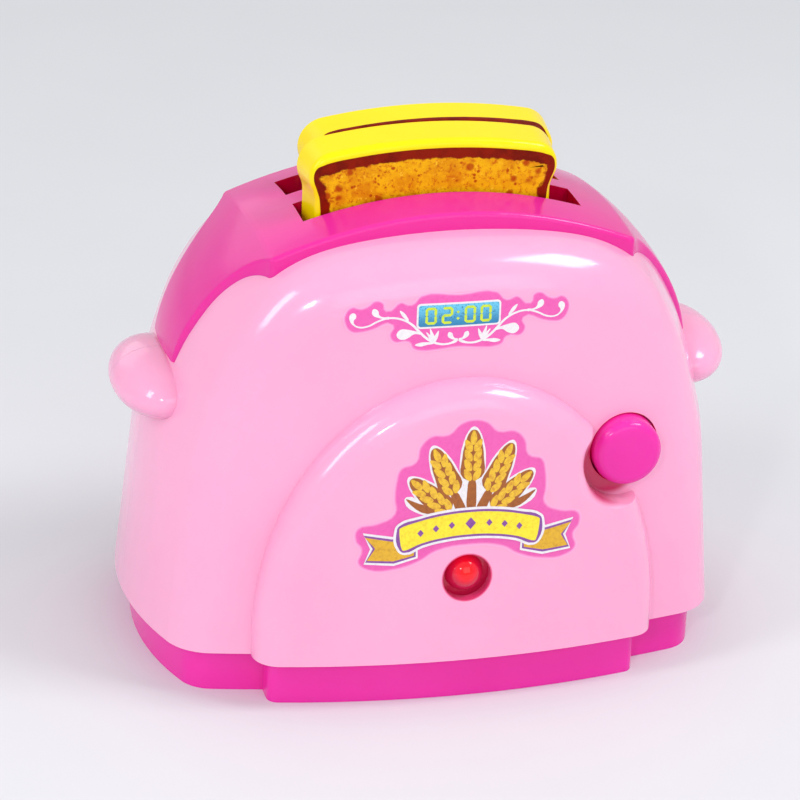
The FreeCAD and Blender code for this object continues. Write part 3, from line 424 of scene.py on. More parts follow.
def paint_slot_shade(material):
    """Painted shade: crimson inside the two bread slots of the cover."""
    tree = material.node_tree
    shader = tree.nodes["Principled BSDF"]
    place = add(tree, "ShaderNodeTexCoord")
    here = add(tree, "ShaderNodeSeparateXYZ")
    join(tree, place.outputs["Object"], here.inputs[0])
    inside = None
    for axis, both_sides, start, full in SLOT_SHADE_LIMITS:
        reach = here.outputs[axis]
        if both_sides:
            fold = add(tree, "ShaderNodeMath", operation="ABSOLUTE")
            join(tree, reach, fold.inputs[0])
            reach = fold.outputs[0]
        within = ramp_mask(tree, reach, start * MM, full * MM)
        if inside:
            shared = add(tree, "ShaderNodeMath", operation="MULTIPLY")
            join(tree, inside, shared.inputs[0])
            join(tree, within, shared.inputs[1])
            within = shared.outputs[0]
        inside = within
    colour = shader.inputs["Base Color"].links[0].from_socket
    # The crimson mixed in here is painted shade
    join(tree, blended(tree, inside, colour, (186, 0, 58)), shader.inputs["Base Color"])
    return material


def lens_finish():
    """Red plastic with a painted glow, brightest in a painted lit spot over the lamp, and painted shade in
    crimson towards its edge.
    """
    material, tree, shader = blank("red_lens")
    dress_skin(tree, shader, (176, 26, 66), (160, 14, 52), dye=0.5, gloss=0.05, rubbing=0.04)
    dress_grain(tree, shader, stipple=0.1, waves=0.2, depth=0.02)
    # Painted light: a lit spot and a glow over the whole lens stand for the lamp shining through; the crimson
    # towards the edge is painted shade
    lens_glow_spot = near_axis(tree, GLOW_AXIS, inside=0.2, outside=3.6)
    edge = shader.inputs["Base Color"].links[0].from_socket
    join(tree, blended(tree, lens_glow_spot, edge, (206, 0, 6)), shader.inputs["Base Color"])
    join(tree, blended(tree, lens_glow_spot, (118, 4, 34), (230, 0, 6)), shader.inputs["Emission Color"])
    shader.inputs["Emission Strength"].default_value = 0.8
    shader.inputs["Transmission Weight"].default_value = 0.05
    shader.inputs["IOR"].default_value = 1.49
    shader.inputs["Specular IOR Level"].default_value = 0.25
    shader.inputs["Coat Weight"].default_value = 0.55
    shader.inputs["Coat Roughness"].default_value = 0.04
    return material


def bulb_finish():
    """The glowing lamp behind the lens."""
    material, tree, shader = blank("red_bulb")
    dress_skin(tree, shader, (255, 40, 40), (240, 24, 30), dye=0.5, gloss=0.2, rubbing=0.05)
    glow = sampled(tree, "ShaderNodeTexNoise", Scale=500.0, Detail=2.0)
    warm = blended(tree, glow.outputs["Fac"], (255, 4, 12), (255, 26, 22))
    join(tree, warm, shader.inputs["Emission Color"])
    shader.inputs["Emission Strength"].default_value = 1.5
    return material


def make_finishes():
    """The finishes of the carried-over nodes and of the coils."""
    rose = plastic("rose_pink_plastic", *ROSE_PINK, gloss=0.15, coat=0.1, shine=0.3, glow=0.2)
    return {
        "shell": plastic("pale_pink_plastic", *PALE_PINK, gloss=0.14, coat=0.3, glow=0.2),
        "front": paint_hollow_shade(plastic("pale_pink_front", *PALE_PINK, gloss=0.14, coat=0.3, glow=0.2)),
        "cover": paint_slot_shade(rose),
        "base": plastic("deep_pink_plastic", *DEEP_PINK, gloss=0.15, coat=0.1, shine=0.3, glow=0.2),
        "lift": plastic("crimson_plastic", (176, 20, 92), (156, 14, 78), gloss=0.4),
        "toast": plastic("yellow_plastic", (253, 228, 0), (250, 214, 0), gloss=0.2, coat=0.05, shine=0.25),
        "latch": plastic("white_acetal", (236, 234, 228), (226, 224, 216), gloss=0.4),
        "board": plastic("green_laminate", (34, 98, 58), (24, 80, 46), gloss=0.45),
        "jacket": plastic("cell_jacket", (38, 42, 54), (26, 30, 40), gloss=0.3),
        "steel": metal("plated_steel", (196, 196, 200), (170, 170, 176)),
        "spring": metal("spring_steel", (180, 180, 186), (150, 150, 158), gloss=0.32),
        "brass": metal("brass_leaf", (214, 176, 96), (190, 150, 72)),
        "lens": lens_finish(),
        "bulb": bulb_finish(),
    }


def film_ink(name, colour, deep, under=None, speckle=0.4):
    """Printed film: mottled ink, thinned along its rim to the colour under it where that is given."""
    material, tree, shader = blank(name)
    mottle = add(tree, "ShaderNodeGroup", node_tree=MOTTLE)
    mottle.inputs["Color"].default_value = tone(*colour)
    mottle.inputs["Deep"].default_value = tone(*deep)
    mottle.inputs["Least"].default_value = 0.5 - speckle * 0.4
    mottle.inputs["Most"].default_value = 0.5 + speckle
    tint = mottle.outputs["Color"]
    if under:
        rim = add(tree, "ShaderNodeAttribute", attribute_name="rim")
        tint = blended(tree, ramp_mask(tree, rim.outputs["Fac"], 0.0, 0.95), under, tint)
    join(tree, tint, shader.inputs["Base Color"])
    shader.inputs["Roughness"].default_value = 0.3
    shader.inputs["Coat Weight"].default_value = 0.3
    shader.inputs["Coat Roughness"].default_value = 0.08
    return material


def screen_ink():
    """The display's blue field: light at the top, deep teal at the bottom, finely speckled."""
    material, tree, shader = blank("display_blue")
    place = add(tree, "ShaderNodeTexCoord")
    split = add(tree, "ShaderNodeSeparateXYZ")
    join(tree, place.outputs["Object"], split.inputs[0])
    fall = ramp_mask(tree, split.outputs["Z"], SCREEN_FOOT * MM, SCREEN_HEAD * MM)
    grain = sampled(tree, "ShaderNodeTexNoise", Scale=2600.0, Detail=2.0, Roughness=0.7)
    speck = ramp_mask(tree, grain.outputs["Fac"], 0.52, 0.72)
    field = blended(tree, fall, (34, 128, 178), (104, 198, 234))
    join(tree, blended(tree, speck, field, (30, 108, 150)), shader.inputs["Base Color"])
    shader.inputs["Roughness"].default_value = 0.28
    shader.inputs["Coat Weight"].default_value = 0.3
    shader.inputs["Coat Roughness"].default_value = 0.08
    return material


def toasted_print():
    """The picture of toasted bread: brown crust along the rim, golden crumb with burnt pores inside."""
    material, tree, shader = blank("toasted_print")
    rim = add(tree, "ShaderNodeAttribute", attribute_name="rim")
    ragged = sampled(tree, "ShaderNodeTexNoise", Scale=420.0, Detail=4.0, Roughness=0.6)
    shift = add(tree, "ShaderNodeMath", operation="MULTIPLY_ADD")
    shift.inputs[1].default_value = 0.75
    join(tree, ragged.outputs["Fac"], shift.inputs[0])
    join(tree, rim.outputs["Fac"], shift.inputs[2])
    inside = ramp_mask(tree, shift.outputs[0], 1.12, 1.24)

    cloud = sampled(tree, "ShaderNodeTexNoise", Scale=300.0, Detail=5.0, Roughness=0.65, Distortion=0.2)
    crumb = blended(tree, ramp_mask(tree, cloud.outputs["Fac"], 0.38, 0.64), (236, 182, 12), (216, 144, 8))
    fine = sampled(tree, "ShaderNodeTexNoise", Scale=1300.0, Detail=4.0, Roughness=0.75)
    crumb = blended(tree, ramp_mask(tree, fine.outputs["Fac"], 0.50, 0.66), crumb, (200, 104, 6))
    fleck = sampled(tree, "ShaderNodeTexNoise", Scale=900.0, Detail=3.0, Roughness=0.7)
    crumb = blended(tree, ramp_mask(tree, fleck.outputs["Fac"], 0.58, 0.74), crumb, (246, 200, 48))
    for scale, edge, middle in ((380.0, 0.40, 0.20), (820.0, 0.34, 0.16)):
        pores = sampled(tree, "ShaderNodeTexVoronoi", Scale=scale, Randomness=1.0)
        few = sampled(tree, "ShaderNodeTexNoise", Scale=scale * 0.55, Detail=1.0)
        burnt = add(tree, "ShaderNodeMath", operation="MULTIPLY")
        join(tree, ramp_mask(tree, pores.outputs["Distance"], edge, middle), burnt.inputs[0])
        join(tree, ramp_mask(tree, few.outputs["Fac"], 0.46, 0.58), burnt.inputs[1])
        crumb = blended(tree, burnt.outputs[0], crumb, (178, 74, 2))
    streak = sampled(tree, "ShaderNodeTexNoise", Scale=240.0, Detail=4.0, Roughness=0.7)
    crust = blended(tree, ramp_mask(tree, streak.outputs["Fac"], 0.4, 0.65), (134, 24, 0), (106, 15, 0))
    join(tree, blended(tree, inside, crust, crumb), shader.inputs["Base Color"])
    shader.inputs["Roughness"].default_value = 0.35
    shader.inputs["Specular IOR Level"].default_value = 0.1
    return material


CARRIED_OVER = {
    "front": ("front_shell",),
    "shell": ("rear_shell",),
    "cover": ("top_cover",),
    "base": ("base", "battery_door", "eject_button"),
    "lift": ("carriage",),
    "toast": ("front_slice", "rear_slice"),
    "latch": ("latch_frame", "latch_lever"),
    "board": ("circuit_board",),
    "jacket": ("battery_cells",),
    "steel": ("base_screws", "door_screw", "shell_screws", "small_screws", "guide_rods", "latch_pin"),
    "spring": ("carriage_spring", "button_spring", "contact_springs", "contact_plates"),
    "brass": ("switch_leaves",),
    "lens": ("lamp_lens",),
    "bulb": ("lamp_bulb",),
}


def dress_nodes(finishes):
    """Gives every CAD node its finish."""
    for finish, nodes in CARRIED_OVER.items():
        for name in nodes:
            mesh = NODES[name].data
            mesh.materials.clear()
            mesh.materials.append(finishes[finish])


# ---------------------------------------------------------------------------------------------------
# Wound springs in the place of the CAD ones
# ---------------------------------------------------------------------------------------------------

WIRE_SIDES, TURN_STEPS = 14, 40


def make_coil(name, node, along, radius, wire, turns, fixed, finish):
    """A wound wire in the place of a CAD spring, in millimetres, along axis 1 or 2.

    It keeps its length: the end that would stay, its low end (fixed 0) or its high end (fixed 1), is worked
    out but not used.
    """
    low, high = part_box(node)
    height = (high - low)[along]
    deselect()
    bpy.ops.mesh.primitive_circle_add(vertices=WIRE_SIDES, radius=wire * MM, fill_type="NOTHING",
                                      location=(radius * MM, 0, wire * MM), rotation=(math.pi / 2, 0, 0))
    coil = bpy.context.object
    coil.name = coil.data.name = name
    bpy.ops.object.transform_apply(location=True, rotation=True, scale=True)
    winding = coil.modifiers.new("winding", "SCREW")
    winding.axis = "Z"
    winding.angle = 2 * math.pi
    winding.iterations = turns
    winding.screw_offset = (height - 2 * wire * MM) / turns
    winding.steps = winding.render_steps = TURN_STEPS
    winding.use_smooth_shade = True
    winding.use_merge_vertices = False
    bpy.ops.object.modifier_apply(modifier="winding")
    edit("SELECT")
    bpy.ops.mesh.fill_holes(sides=0)
    bpy.ops.mesh.select_all(action="SELECT")
    bpy.ops.mesh.normals_make_consistent(inside=False)
    bpy.ops.object.mode_set(mode="OBJECT")
    start = (low + high) / 2
    start[along] = low[along]
    coil.location = start
    coil.rotation_euler = (0, 0, 0) if along == 2 else (-math.pi / 2, 0, 0)
    bpy.ops.object.transform_apply(location=True, rotation=True, scale=True)
    coil.data.materials.append(finish)
    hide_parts(node)
    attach(coil, "housing")
    anchor = start.copy()
    anchor[along] = (low, high)[fixed][along]
    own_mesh(coil)


def make_springs(finish):
    """Coils for the lift's spring and the button's spring; the ends given to stay, the lift's foot and the
    button's rear end, are not used.
    """
    make_coil("lift_coil", "carriage_spring",
              along=2, radius=5.0, wire=0.45, turns=6, fixed=0, finish=finish)
    make_coil("button_coil", "button_spring",
              along=1, radius=4.2, wire=0.25, turns=3, fixed=1, finish=finish)


# ---------------------------------------------------------------------------------------------------
# Printed films
# ---------------------------------------------------------------------------------------------------

# Millimetres, as all the places and sizes of the films below
FILM_THICKNESS = 0.05
LAYER_STEP = 0.002          # how much higher each group of outlines in one label lies
START_FRONT = -60.0         # a label is laid on the wall from here


def mirrored(points, middle):
    """The same points on the other side of a middle line."""
    return [(2 * middle - x, *rest) for x, *rest in points]


def stroke(marks):
    """The outline of a brush stroke through (x, z, width) marks."""
    left, right = [], []
    for index, (x, z, width) in enumerate(marks):
        before, after = marks[max(index - 1, 0)], marks[min(index + 1, len(marks) - 1)]
        along = Vector((after[0] - before[0], after[1] - before[1])).normalized() * width / 2
        left.append((x - along.y, z + along.x))
        right.append((x + along.y, z - along.x))
    return left + right[::-1]


def grown(outline, by):
    """The same closed outline, that much larger all round."""
    area = sum(x0 * z1 - x1 * z0 for (x0, z0), (x1, z1) in zip(outline, outline[1:] + outline[:1]))
    out = by if area > 0 else -by
    points = []
    for before, (x, z), after in zip(outline[-1:] + outline[:-1], outline, outline[1:] + outline[:1]):
        along = Vector((after[0] - before[0], after[1] - before[1])).normalized() * out
        points.append((x + along.y, z - along.x))
    return points


def flat_film(outlines, smooth=True):
    """Closed outlines in millimetres, filled, as a flat mesh that stands up facing the front."""
    deselect()
    bpy.ops.curve.primitive_bezier_circle_add()
    film = bpy.context.object
    curve = film.data
    curve.dimensions = "2D"
    curve.fill_mode = "BOTH"
    curve.resolution_u = 4 if smooth else 1
    curve.splines.clear()
    for outline in outlines:
        loop = curve.splines.new("BEZIER")
        loop.bezier_points.add(len(outline) - 1)
        loop.use_cyclic_u = True
        for point, (x, z) in zip(loop.bezier_points, outline):
            point.co = (x * MM, z * MM, 0)
            point.handle_left_type = point.handle_right_type = "AUTO" if smooth else "VECTOR"
    bpy.ops.object.convert(target="MESH")
    if film.data.polygons[0].normal.z < 0:
        edit("SELECT")
        bpy.ops.mesh.flip_normals()
        bpy.ops.object.mode_set(mode="OBJECT")
    film.rotation_euler = (math.pi / 2, 0, 0)
    bpy.ops.object.transform_apply(location=True, rotation=True, scale=True)
    return film


def fade_rim(film, width, side_mark=0.0, side_top=-math.inf):
    """Insets the film and marks its points: 1 inside, 0 at the rim, side_mark at the rim below side_top."""
    edit("SELECT")
    bpy.ops.mesh.remove_doubles(threshold=1e-7)
    bpy.ops.mesh.dissolve_limited(angle_limit=0.01)
    bpy.ops.mesh.select_all(action="SELECT")
    bpy.ops.mesh.inset(thickness=width * MM, use_boundary=True, use_even_offset=True)
    bpy.ops.object.mode_set(mode="OBJECT")
    mesh = film.data
    inner = set()
    for face in mesh.polygons:
        if face.select:
            inner.update(face.vertices)
    mark = mesh.attributes.new("rim", "FLOAT", "POINT")
    for point in mesh.vertices:
        at_rim = 0.0 if point.co.z > side_top else side_mark
        mark.data[point.index].value = 1.0 if point.index in inner else at_rim


def score(film, columns, rows):
    """Cuts the film along upright and level lines, so that it can follow a curved wall."""
    bpy.context.view_layer.objects.active = film
    edit("SELECT")
    for places, normal in ((columns, (1, 0, 0)), (rows, (0, 0, 1))):
        for place in places:
            bpy.ops.mesh.select_all(action="SELECT")
            bpy.ops.mesh.bisect(plane_co=[place * n for n in normal], plane_no=normal)
    bpy.ops.object.mode_set(mode="OBJECT")


def grid_places(film, axis, pitch):
    """Where lines that are a pitch apart cut the film, along one axis."""
    low, high = film.bound_box[0][axis], film.bound_box[6][axis]
    return [low + pitch * MM * (step + 0.5) for step in range(int((high - low) / (pitch * MM)) + 1)]


def lay_on(film, node, height, straight=False):
    """Lays the film on a moulding, straight from the front or by the nearest way, a small height above it."""
    wrap = film.modifiers.new("lay", "SHRINKWRAP")
    wrap.target = NODES[node]
    wrap.wrap_mode = "ABOVE_SURFACE"
    wrap.offset = height * MM
    if straight:
        wrap.wrap_method = "PROJECT"
        wrap.use_project_y = True
        wrap.use_positive_direction = True
    bpy.context.view_layer.objects.active = film
    bpy.ops.object.modifier_apply(modifier="lay")


def film_piece(name, films, finish, body):
    """Joins the laid films, gives them their thickness and dresses them."""
    deselect()
    for film in films:
        film.select_set(True)
    bpy.context.view_layer.objects.active = films[0]
    if len(films) > 1:
        bpy.ops.object.join()
    piece = films[0]
    piece.name = piece.data.name = name
    wall = piece.modifiers.new("thickness", "SOLIDIFY")
    wall.thickness = FILM_THICKNESS * MM
    wall.offset = -1
    bpy.ops.object.modifier_apply(modifier="thickness")
    piece.data.materials.append(finish)
    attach(piece, body)


def label(name, groups, ink, height, smooth=True, pitch=None, fade=None):
    """A printed layer on the front wall; each group of outlines lies a hair above the one before it.

    Its film is cut into a grid of that pitch and fades over that width at its rim, where they are given.
    """
    films = []
    for index, outlines in enumerate(groups):
        film = flat_film(outlines, smooth)
        if fade:
            fade_rim(film, fade)
        if pitch:
            score(film, grid_places(film, 0, pitch), grid_places(film, 2, pitch))
        for point in film.data.vertices:
            point.co.y = START_FRONT * MM
        lay_on(film, "front_shell", height + index * LAYER_STEP, straight=True)
        films.append(film)
    film_piece(name, films, ink, "housing")


def whole(half, middle):
    """A closed outline from its right half, top to bottom, measured from the middle line."""
    right = [(x + middle, z) for x, z in half]
    left = [(middle - x, z) for x, z in reversed(half) if x > 0]
    return right + left


# ---------------------------------------------------------------------------------------------------
# The upper sticker: a small display between scrolls
# ---------------------------------------------------------------------------------------------------

DISPLAY_MIDDLE, DISPLAY_RISE = -1.9, 76.45
# The right half of its ground, from the middle line, and the brush strokes on it: (x, z) and (x, z, width)
HALO_RIGHT = [
    (0, 80.3), (7.2, 80.35), (8.97, 78.8), (11.0, 79.3), (13.5, 77.8), (14.1, 79.2), (15.6, 79.65),
    (17.2, 78.6), (18.3, 78.3), (19.8, 78.6), (21.2, 77.2), (21.1, 75.3), (19.9, 73.8), (18.1, 73.7),
    (16.1, 74.15), (12.5, 74.95), (12.9, 73.1), (12.0, 71.6), (9.3, 71.5), (8.5, 70.25), (6.95, 69.7),
    (4.1, 69.75), (0, 70.1),
]
SCROLLS_RIGHT = [
    [(0.1, 71.5, 0.25), (1.85, 70.85, 0.35), (4.05, 71.05, 0.42), (5.9, 72.05, 0.45), (7.45, 73.55, 0.45),
     (8.95, 75.05, 0.42), (10.85, 76.05, 0.38), (13.1, 76.35, 0.34), (15.05, 75.8, 0.34), (17.0, 74.85, 0.32),
     (18.65, 74.75, 0.3), (19.6, 75.35, 0.35), (19.9, 76.0, 0.7), (19.75, 76.75, 1.25), (19.55, 77.3, 0.75),
     (19.5, 77.45, 0.1)],
    [(12.9, 76.35, 0.25), (14.3, 76.45, 0.3), (15.1, 76.8, 0.6), (15.6, 77.4, 1.25), (15.85, 78.0, 0.75),
     (15.9, 78.2, 0.1)],
    [(9.5, 75.7, 0.15), (9.95, 76.3, 0.55), (10.5, 77.0, 0.65), (11.1, 77.7, 0.08)],
    [(6.9, 73.1, 0.2), (8.3, 73.35, 0.6), (9.6, 73.15, 1.7), (10.6, 73.05, 2.05), (11.3, 73.0, 1.3),
     (11.6, 73.0, 0.2)],
    [(4.6, 71.15, 0.15), (5.8, 71.1, 0.5), (7.1, 70.95, 0.75), (8.1, 70.9, 0.08)],
    [(0.1, 71.6, 0.25), (0.75, 71.75, 0.35), (1.25, 72.1, 0.7), (1.55, 72.55, 1.0), (1.75, 73.0, 0.45),
     (1.8, 73.1, 0.1)],
    [(4.7, 71.2, 0.2), (4.35, 72.0, 0.7), (4.0, 72.8, 0.5), (3.75, 73.5, 0.06)],
    [(4.8, 71.2, 0.3), (4.85, 72.2, 0.75), (5.1, 73.1, 0.5), (5.35, 73.95, 0.06)],
    [(4.8, 71.3, 0.2), (5.2, 72.1, 0.6), (5.6, 72.7, 0.4), (6.05, 73.3, 0.06)],
]
# The seven bars of a figure, each from end to end
SEGMENTS = {
    "top": ((0.22, 3.0), (1.38, 3.0)),
    "middle": ((0.22, 1.5), (1.38, 1.5)),
    "bottom": ((0.22, 0.0), (1.38, 0.0)),
    "upper_left": ((0.0, 2.8), (0.0, 1.7)),
    "upper_right": ((1.6, 2.8), (1.6, 1.7)),
    "lower_left": ((0.0, 1.3), (0.0, 0.2)),
    "lower_right": ((1.6, 1.3), (1.6, 0.2)),
}
DIGITS = {
    "0": ("top", "upper_left", "upper_right", "lower_left", "lower_right", "bottom"),
    "2": ("top", "upper_right", "middle", "lower_left", "bottom"),
}
FIGURES = (("0", -8.0), ("2", -4.95), ("0", -0.65), ("0", 2.35))      # each one, and its left side
FIGURE_WIDTH, FIGURE_HEIGHT, FIGURE_FOOT = 1.05, 0.94, 75.02          # two scales of SEGMENTS, and a place
COLON_LEFT, COLON_RIGHT, COLON_RISES = -2.18, -2.04, (75.75, 77.0)
BAR_WIDTH = 0.5


def bar(start, end, width):
    """One segment of a digit, with pointed ends."""
    run = Vector((end[0] - start[0], end[1] - start[1]))
    along = run.normalized() * width / 2
    across = Vector((-along.y, along.x))
    first, last = Vector(start), Vector(end)
    corners = (first - along, first + across, last + across, last + along, last - across, first - across)
    return [tuple(corner) for corner in corners]


def digit_bars():
    """The level bars, and over their ends the upright ones."""
    level, upright = [], []
    for figure, place in FIGURES:
        for segment in DIGITS[figure]:
            ends = [(x * FIGURE_WIDTH + place, z * FIGURE_HEIGHT + FIGURE_FOOT) for x, z in SEGMENTS[segment]]
            kind = level if ends[0][1] == ends[1][1] else upright
            kind.append(bar(*ends, BAR_WIDTH))
    for rise in COLON_RISES:
        level.append(bar((COLON_LEFT, rise), (COLON_RIGHT, rise), BAR_WIDTH))
    return [level, upright]


def rounded_box(size, corner):
    """A rectangle in the middle of the display, with four points round each corner."""
    outline = []
    for side, rise, start in ((1, 1, 0), (-1, 1, 90), (-1, -1, 180), (1, -1, 270)):
        for step in range(4):
            angle = math.radians(start + step * 30)
            outline.append((DISPLAY_MIDDLE + side * (size[0] / 2 - corner) + corner * math.cos(angle),
                            DISPLAY_RISE + rise * (size[1] / 2 - corner) + corner * math.sin(angle)))
    return outline


def make_display(inks):
    """Pink ground, white scrolls, and a blue screen in a white frame that reads 02:00."""
    halo = grown(whole(HALO_RIGHT, DISPLAY_MIDDLE), by=0.2)
    label("display_halo", [[halo]], inks["halo"], height=0.05, pitch=1.0, fade=0.65)
    scrolls = []
    for marks in SCROLLS_RIGHT:
        right = [(x + DISPLAY_MIDDLE, z, width) for x, z, width in marks]
        scrolls.append([stroke(right), stroke(mirrored(right, DISPLAY_MIDDLE))])
    label("display_scrolls", scrolls, inks["white"], height=0.07)
    surround = rounded_box(size=(15.9, 4.85), corner=0.7)
    label("display_frame", [[surround]], inks["white"], height=0.10, smooth=False, pitch=1.0)
    screen = rounded_box(size=(15.2, 4.15), corner=0.45)
    label("display_screen", [[screen]], inks["screen"], height=0.12, smooth=False, pitch=1.0)
    label("display_digits", digit_bars(), inks["digits"], height=0.14, smooth=False)


# ---------------------------------------------------------------------------------------------------
# The lower sticker: a sheaf of wheat behind a banner
# ---------------------------------------------------------------------------------------------------

# The stems meet in the knot. Each ear has its lean in degrees and its tip's distance from the knot
KNOT = (0.2, 36.0)
EARS = ((-47, 15.8), (-24, 18.3), (0, 20.0), (24, 18.3), (47, 15.8))
# Places on an ear's own line, measured from its tip, and its width there
EAR_SPINE = ((-11.6, 1.6), (-9.4, 4.3), (-5.4, 4.9), (-2.4, 3.9), (-0.2, 2.2), (0.7, 0.5))
HUSK_INSET = 0.8                # the brown husk is that much narrower than the ear's white backing
STEM_FOOT, STEM_TOP = 1.0, -9   # from the knot, and from the tip
LEAF_SHAPE = ((0, 0), (0.42, 0.22), (0.5, 0.5), (0.3, 0.82), (0, 1), (-0.3, 0.82), (-0.5, 0.5), (-0.42, 0.22))
# A brush stroke; then, from the knot's middle line, the right halves of ground and banner, and the right tail
BLADE = [(1.6, 38.6, 0.5), (5.4, 40.3, 1.4), (9.4, 40.9, 1.5), (12.6, 43.0, 0.1)]
SHEAF_HALO = [
    (0, 58.2), (2.7, 57.5), (4.8, 55.6), (8.0, 55.4), (10.2, 53.2), (10.9, 50.4), (13.6, 49.2),
    (14.5, 46.4), (14.7, 43.0), (14.6, 40.2), (17.6, 38.4), (21.4, 37.4), (21.7, 34.8), (20.6, 33.1),
    (21.2, 30.4), (19.2, 28.8), (14.2, 28.7), (9.4, 30.2), (6.4, 32.0), (0, 32.9),
]
BANNER_RIGHT = [(0, 39.7), (5.0, 39.4), (9.6, 38.5), (13.4, 37.2), (13.5, 36.9), (12.9, 32.9), (12.6, 32.7),
                (9.2, 34.0), (4.8, 34.9), (0, 35.2)]
BANNER_TAIL = [(10.6, 35.4), (14.8, 34.6), (19.9, 35.6), (17.9, 33.3), (19.4, 30.9), (14.4, 30.6),
               (10.6, 31.6)]
# A layer's name, how far it stands out round the band, its height, and the inks of its tails and its band
BANNER_LAYERS = (
    ("backing", 0.95, 0.12, "white", "white"),
    ("edge", 0.45, 0.14, "purple", "purple"),
    ("band", 0.0, 0.16, "shade", "band"),
)
BAND_RISE = 0.06                # the band lies that much above its tails
# A mark's place from the knot's middle line, its height and its size
BANNER_MARKS = (
    (0, 37.45, 1.0), (-3.6, 37.3, 0.6), (3.6, 37.3, 0.6), (-6.6, 36.8, 0.6), (6.6, 36.8, 0.6),
    (-9.5, 36.05, 0.6), (9.5, 36.05, 0.6),
)


def from_knot(points, angle):
    """Points (across, along) on an ear's own line, turned about the knot."""
    lean = math.radians(angle)
    turned = []
    for across, along, *width in points:
        x = KNOT[0] + across * math.cos(lean) + along * math.sin(lean)
        z = KNOT[1] - across * math.sin(lean) + along * math.cos(lean)
        turned.append((x, z, *width))
    return turned


def wheat_grain(foot, length, width, tilt):
    """One grain: a plump leaf from its foot, turned by its tilt in degrees."""
    lean = math.radians(tilt)
    return [(foot[0] + across * width * math.cos(lean) + along * length * math.sin(lean),
             foot[1] - across * width * math.sin(lean) + along * length * math.cos(lean))
            for across, along in LEAF_SHAPE]


def ear_grains(reach):
    """The grains of one ear: one at its tip, and four pairs below it."""
    grains = [wheat_grain((0, reach - 2.9), length=2.9, width=1.25, tilt=0)]
    for row in range(4):
        along = reach - 4.2 - row * 1.95
        for side in (-1, 1):
            grains.append(wheat_grain((side * 0.3, along), length=2.7, width=1.3, tilt=side * 27))
    return grains


def pair(outline):
    """An outline and its mirror image across the knot."""
    return [outline, mirrored(outline, KNOT[0])]


def lozenge(x, z, size):
    """A small diamond, a little taller than wide."""
    return [(x + size, z), (x, z + size * 1.2), (x - size, z), (x, z - size * 1.2)]


def make_emblem(inks):
    """Pink ground, five ears with stems and two blades, and over the stems a banner with tails."""
    halo = grown(whole(SHEAF_HALO, KNOT[0]), by=0.15)
    label("emblem_halo", [[halo]], inks["halo"], height=0.03, pitch=1.8, fade=0.8)
    backs, stems, straws, husks, grains = [], [], [], [], []
    for angle, reach in EARS:
        spine = [(0, reach + from_tip, width) for from_tip, width in EAR_SPINE]
        husk = [(middle, along, width - HUSK_INSET) for middle, along, width in spine[1:5]]
        husk.append((0, reach + 0.1, 0.4))
        top = reach + STEM_TOP
        backs.append([stroke(from_knot(spine, angle))])
        stems.append([stroke(from_knot([(0, STEM_FOOT, 1.2), (0, top, 1.4)], angle))])
        straws.append([stroke(from_knot([(0, STEM_FOOT, 0.6), (0, top, 0.65)], angle))])
        husks.append([stroke(from_knot(husk, angle))])
        grains += [from_knot(outline, angle) for outline in ear_grains(reach)]
    blade = stroke(BLADE)
    backing = backs + stems + [pair(grown(blade, by=0.4))]
    label("emblem_backing", backing, inks["white"], height=0.055, pitch=2.0)
    label("emblem_straw", straws + husks + [pair(blade)], inks["straw"], height=0.08, pitch=2.0)
    label("emblem_grains", [grains], inks["grain"], height=0.105)
    tail = [(x + KNOT[0], z) for x, z in BANNER_TAIL]
    band = whole(BANNER_RIGHT, KNOT[0])
    for name, extra, height, tail_ink, band_ink in BANNER_LAYERS:
        tails = pair(grown(tail, extra))
        label("banner_tail_" + name, [tails], inks[tail_ink], height, smooth=False, pitch=2.0)
        label("banner_" + name, [[grown(band, extra)]], inks[band_ink], height + BAND_RISE, pitch=2.0)
    marks = [lozenge(KNOT[0] + x, z, size) for x, z, size in BANNER_MARKS]
    label("banner_marks", [marks], inks["purple"], height=0.24, smooth=False)


# ---------------------------------------------------------------------------------------------------
# The pictures on the toast
# ---------------------------------------------------------------------------------------------------

# A slice's node, the middle of its width, its foot, its front face, the top of its print above its foot, and
# how far the print's corners lie below that
SLICES = (("front_slice", -1.7, 53.98, -10.9, 46.9, 2.3), ("rear_slice", 1.7, 52.18, 3.3, 49.5, 2.9))
PRINT_SIDES = [(22.7, 43.9), (23.2, 42.2), (22.6, 40.0), (21.9, 37.6), (21.8, 30.0), (21.8, 16.0),
               (21.8, 4.1), (20.1, 2.4), (0, 2.4)]
FACE_HEIGHT = 47.0          # of the flat face, at the middle of a slice
EDGE_ROUND = 1.4
CROWN = 220.0               # a slice's top falls by x * x / CROWN from its middle
CRUST_WIDTH = 2.5
SIDE_CRUST, SIDE_TOP = 0.42, 43.0      # the rim's mark where the crust is thinner, and how far up that is
PRINT_LIFT = 0.08


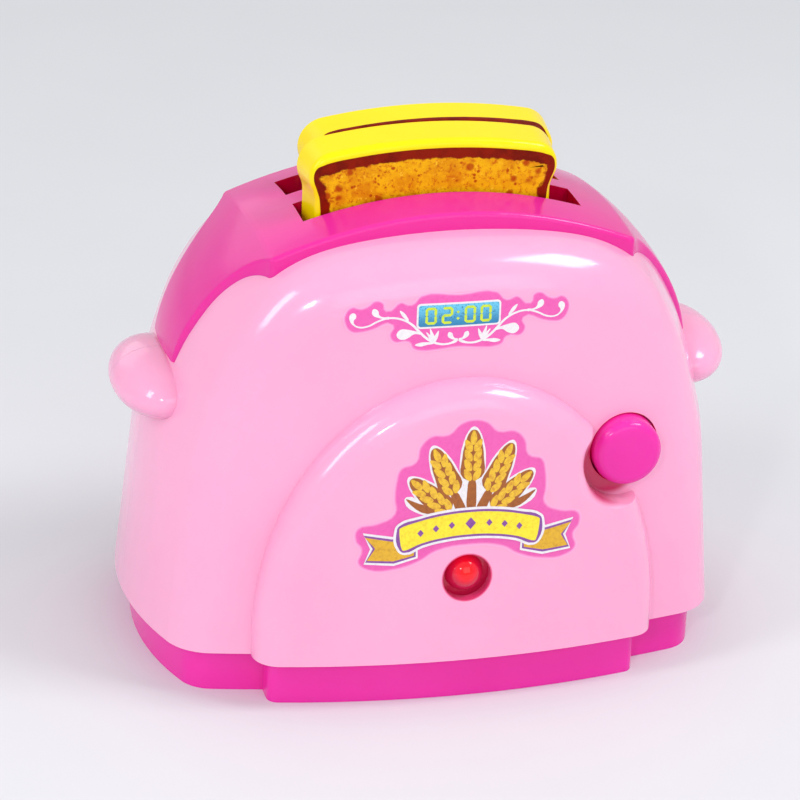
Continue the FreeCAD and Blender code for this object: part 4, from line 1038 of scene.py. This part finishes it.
def fold_over(film, middle, seat, front):
    """Stands the film on the slice's face and folds what is above the face back over the top edge."""
    for point in film.data.vertices:
        x, z = point.co.x / MM - middle, point.co.z / MM
        edge = seat + FACE_HEIGHT - x * x / CROWN
        past = max(z - edge, 0.0)
        turn = min(past / EDGE_ROUND, math.pi / 2)
        flat = max(past - EDGE_ROUND * math.pi / 2, 0.0)
        point.co.y = (front + EDGE_ROUND * (1 - math.cos(turn)) + flat) * MM
        if past:
            point.co.z = (edge + EDGE_ROUND * math.sin(turn)) * MM


def make_toast_prints(finish):
    """The picture on each slice's front face; the rear one wraps over the top edge."""
    # Cut lines: wide apart on the face, and close together where the film turns over an edge
    columns = [-21 + 3 * step for step in range(15)]
    columns += [side * (20.9 + 0.3 * step) for step in range(9) for side in (-1, 1)]
    rows = [3 * step for step in range(1, 14)] + [40 + 0.3 * step for step in range(31)]
    for node, middle, seat, front, top, corner in SLICES:
        crown = [(x, top - x * x / CROWN) for x in (0, 4, 8, 12, 16, 19)] + [(21.4, top - corner)]
        film = flat_film([whole([(x, z + seat) for x, z in crown + PRINT_SIDES], middle)])
        fade_rim(film, CRUST_WIDTH, SIDE_CRUST, (seat + SIDE_TOP) * MM)
        score(film, [(middle + x) * MM for x in columns], [(seat + z) * MM for z in rows])
        fold_over(film, middle, seat, front)
        lay_on(film, node, PRINT_LIFT)
        film_piece(node.replace("slice", "print"), [film], finish, node)


def make_inks():
    """The inks of both stickers; the pink ground thins to the plastic's own pink along its rim."""
    pink_under = (251, 172, 216)
    return {
        "halo": film_ink("halo_pink", (236, 92, 178), (230, 76, 168), under=pink_under),
        "white": film_ink("label_white", (238, 234, 237), (222, 216, 223)),
        "screen": screen_ink(),
        "digits": film_ink("digit_green", (208, 226, 40), (168, 206, 70), speckle=0.25),
        "straw": film_ink("straw_brown", (164, 88, 14), (132, 62, 8)),
        "grain": film_ink("grain_gold", (236, 190, 36), (206, 138, 20), speckle=0.3),
        "shade": film_ink("ribbon_gold", (226, 176, 26), (204, 146, 20), speckle=0.3),
        "purple": film_ink("ribbon_purple", (138, 70, 160), (112, 52, 138)),
        "band": film_ink("ribbon_yellow", (246, 230, 40), (234, 206, 30), speckle=0.3),
    }


# ---------------------------------------------------------------------------------------------------
# The whole toy
# ---------------------------------------------------------------------------------------------------

set_camera()
set_studio()
finishes = make_finishes()
dress_nodes(finishes)
make_springs(finishes["spring"])
inks = make_inks()
make_display(inks)
make_emblem(inks)
make_toast_prints(toasted_print())
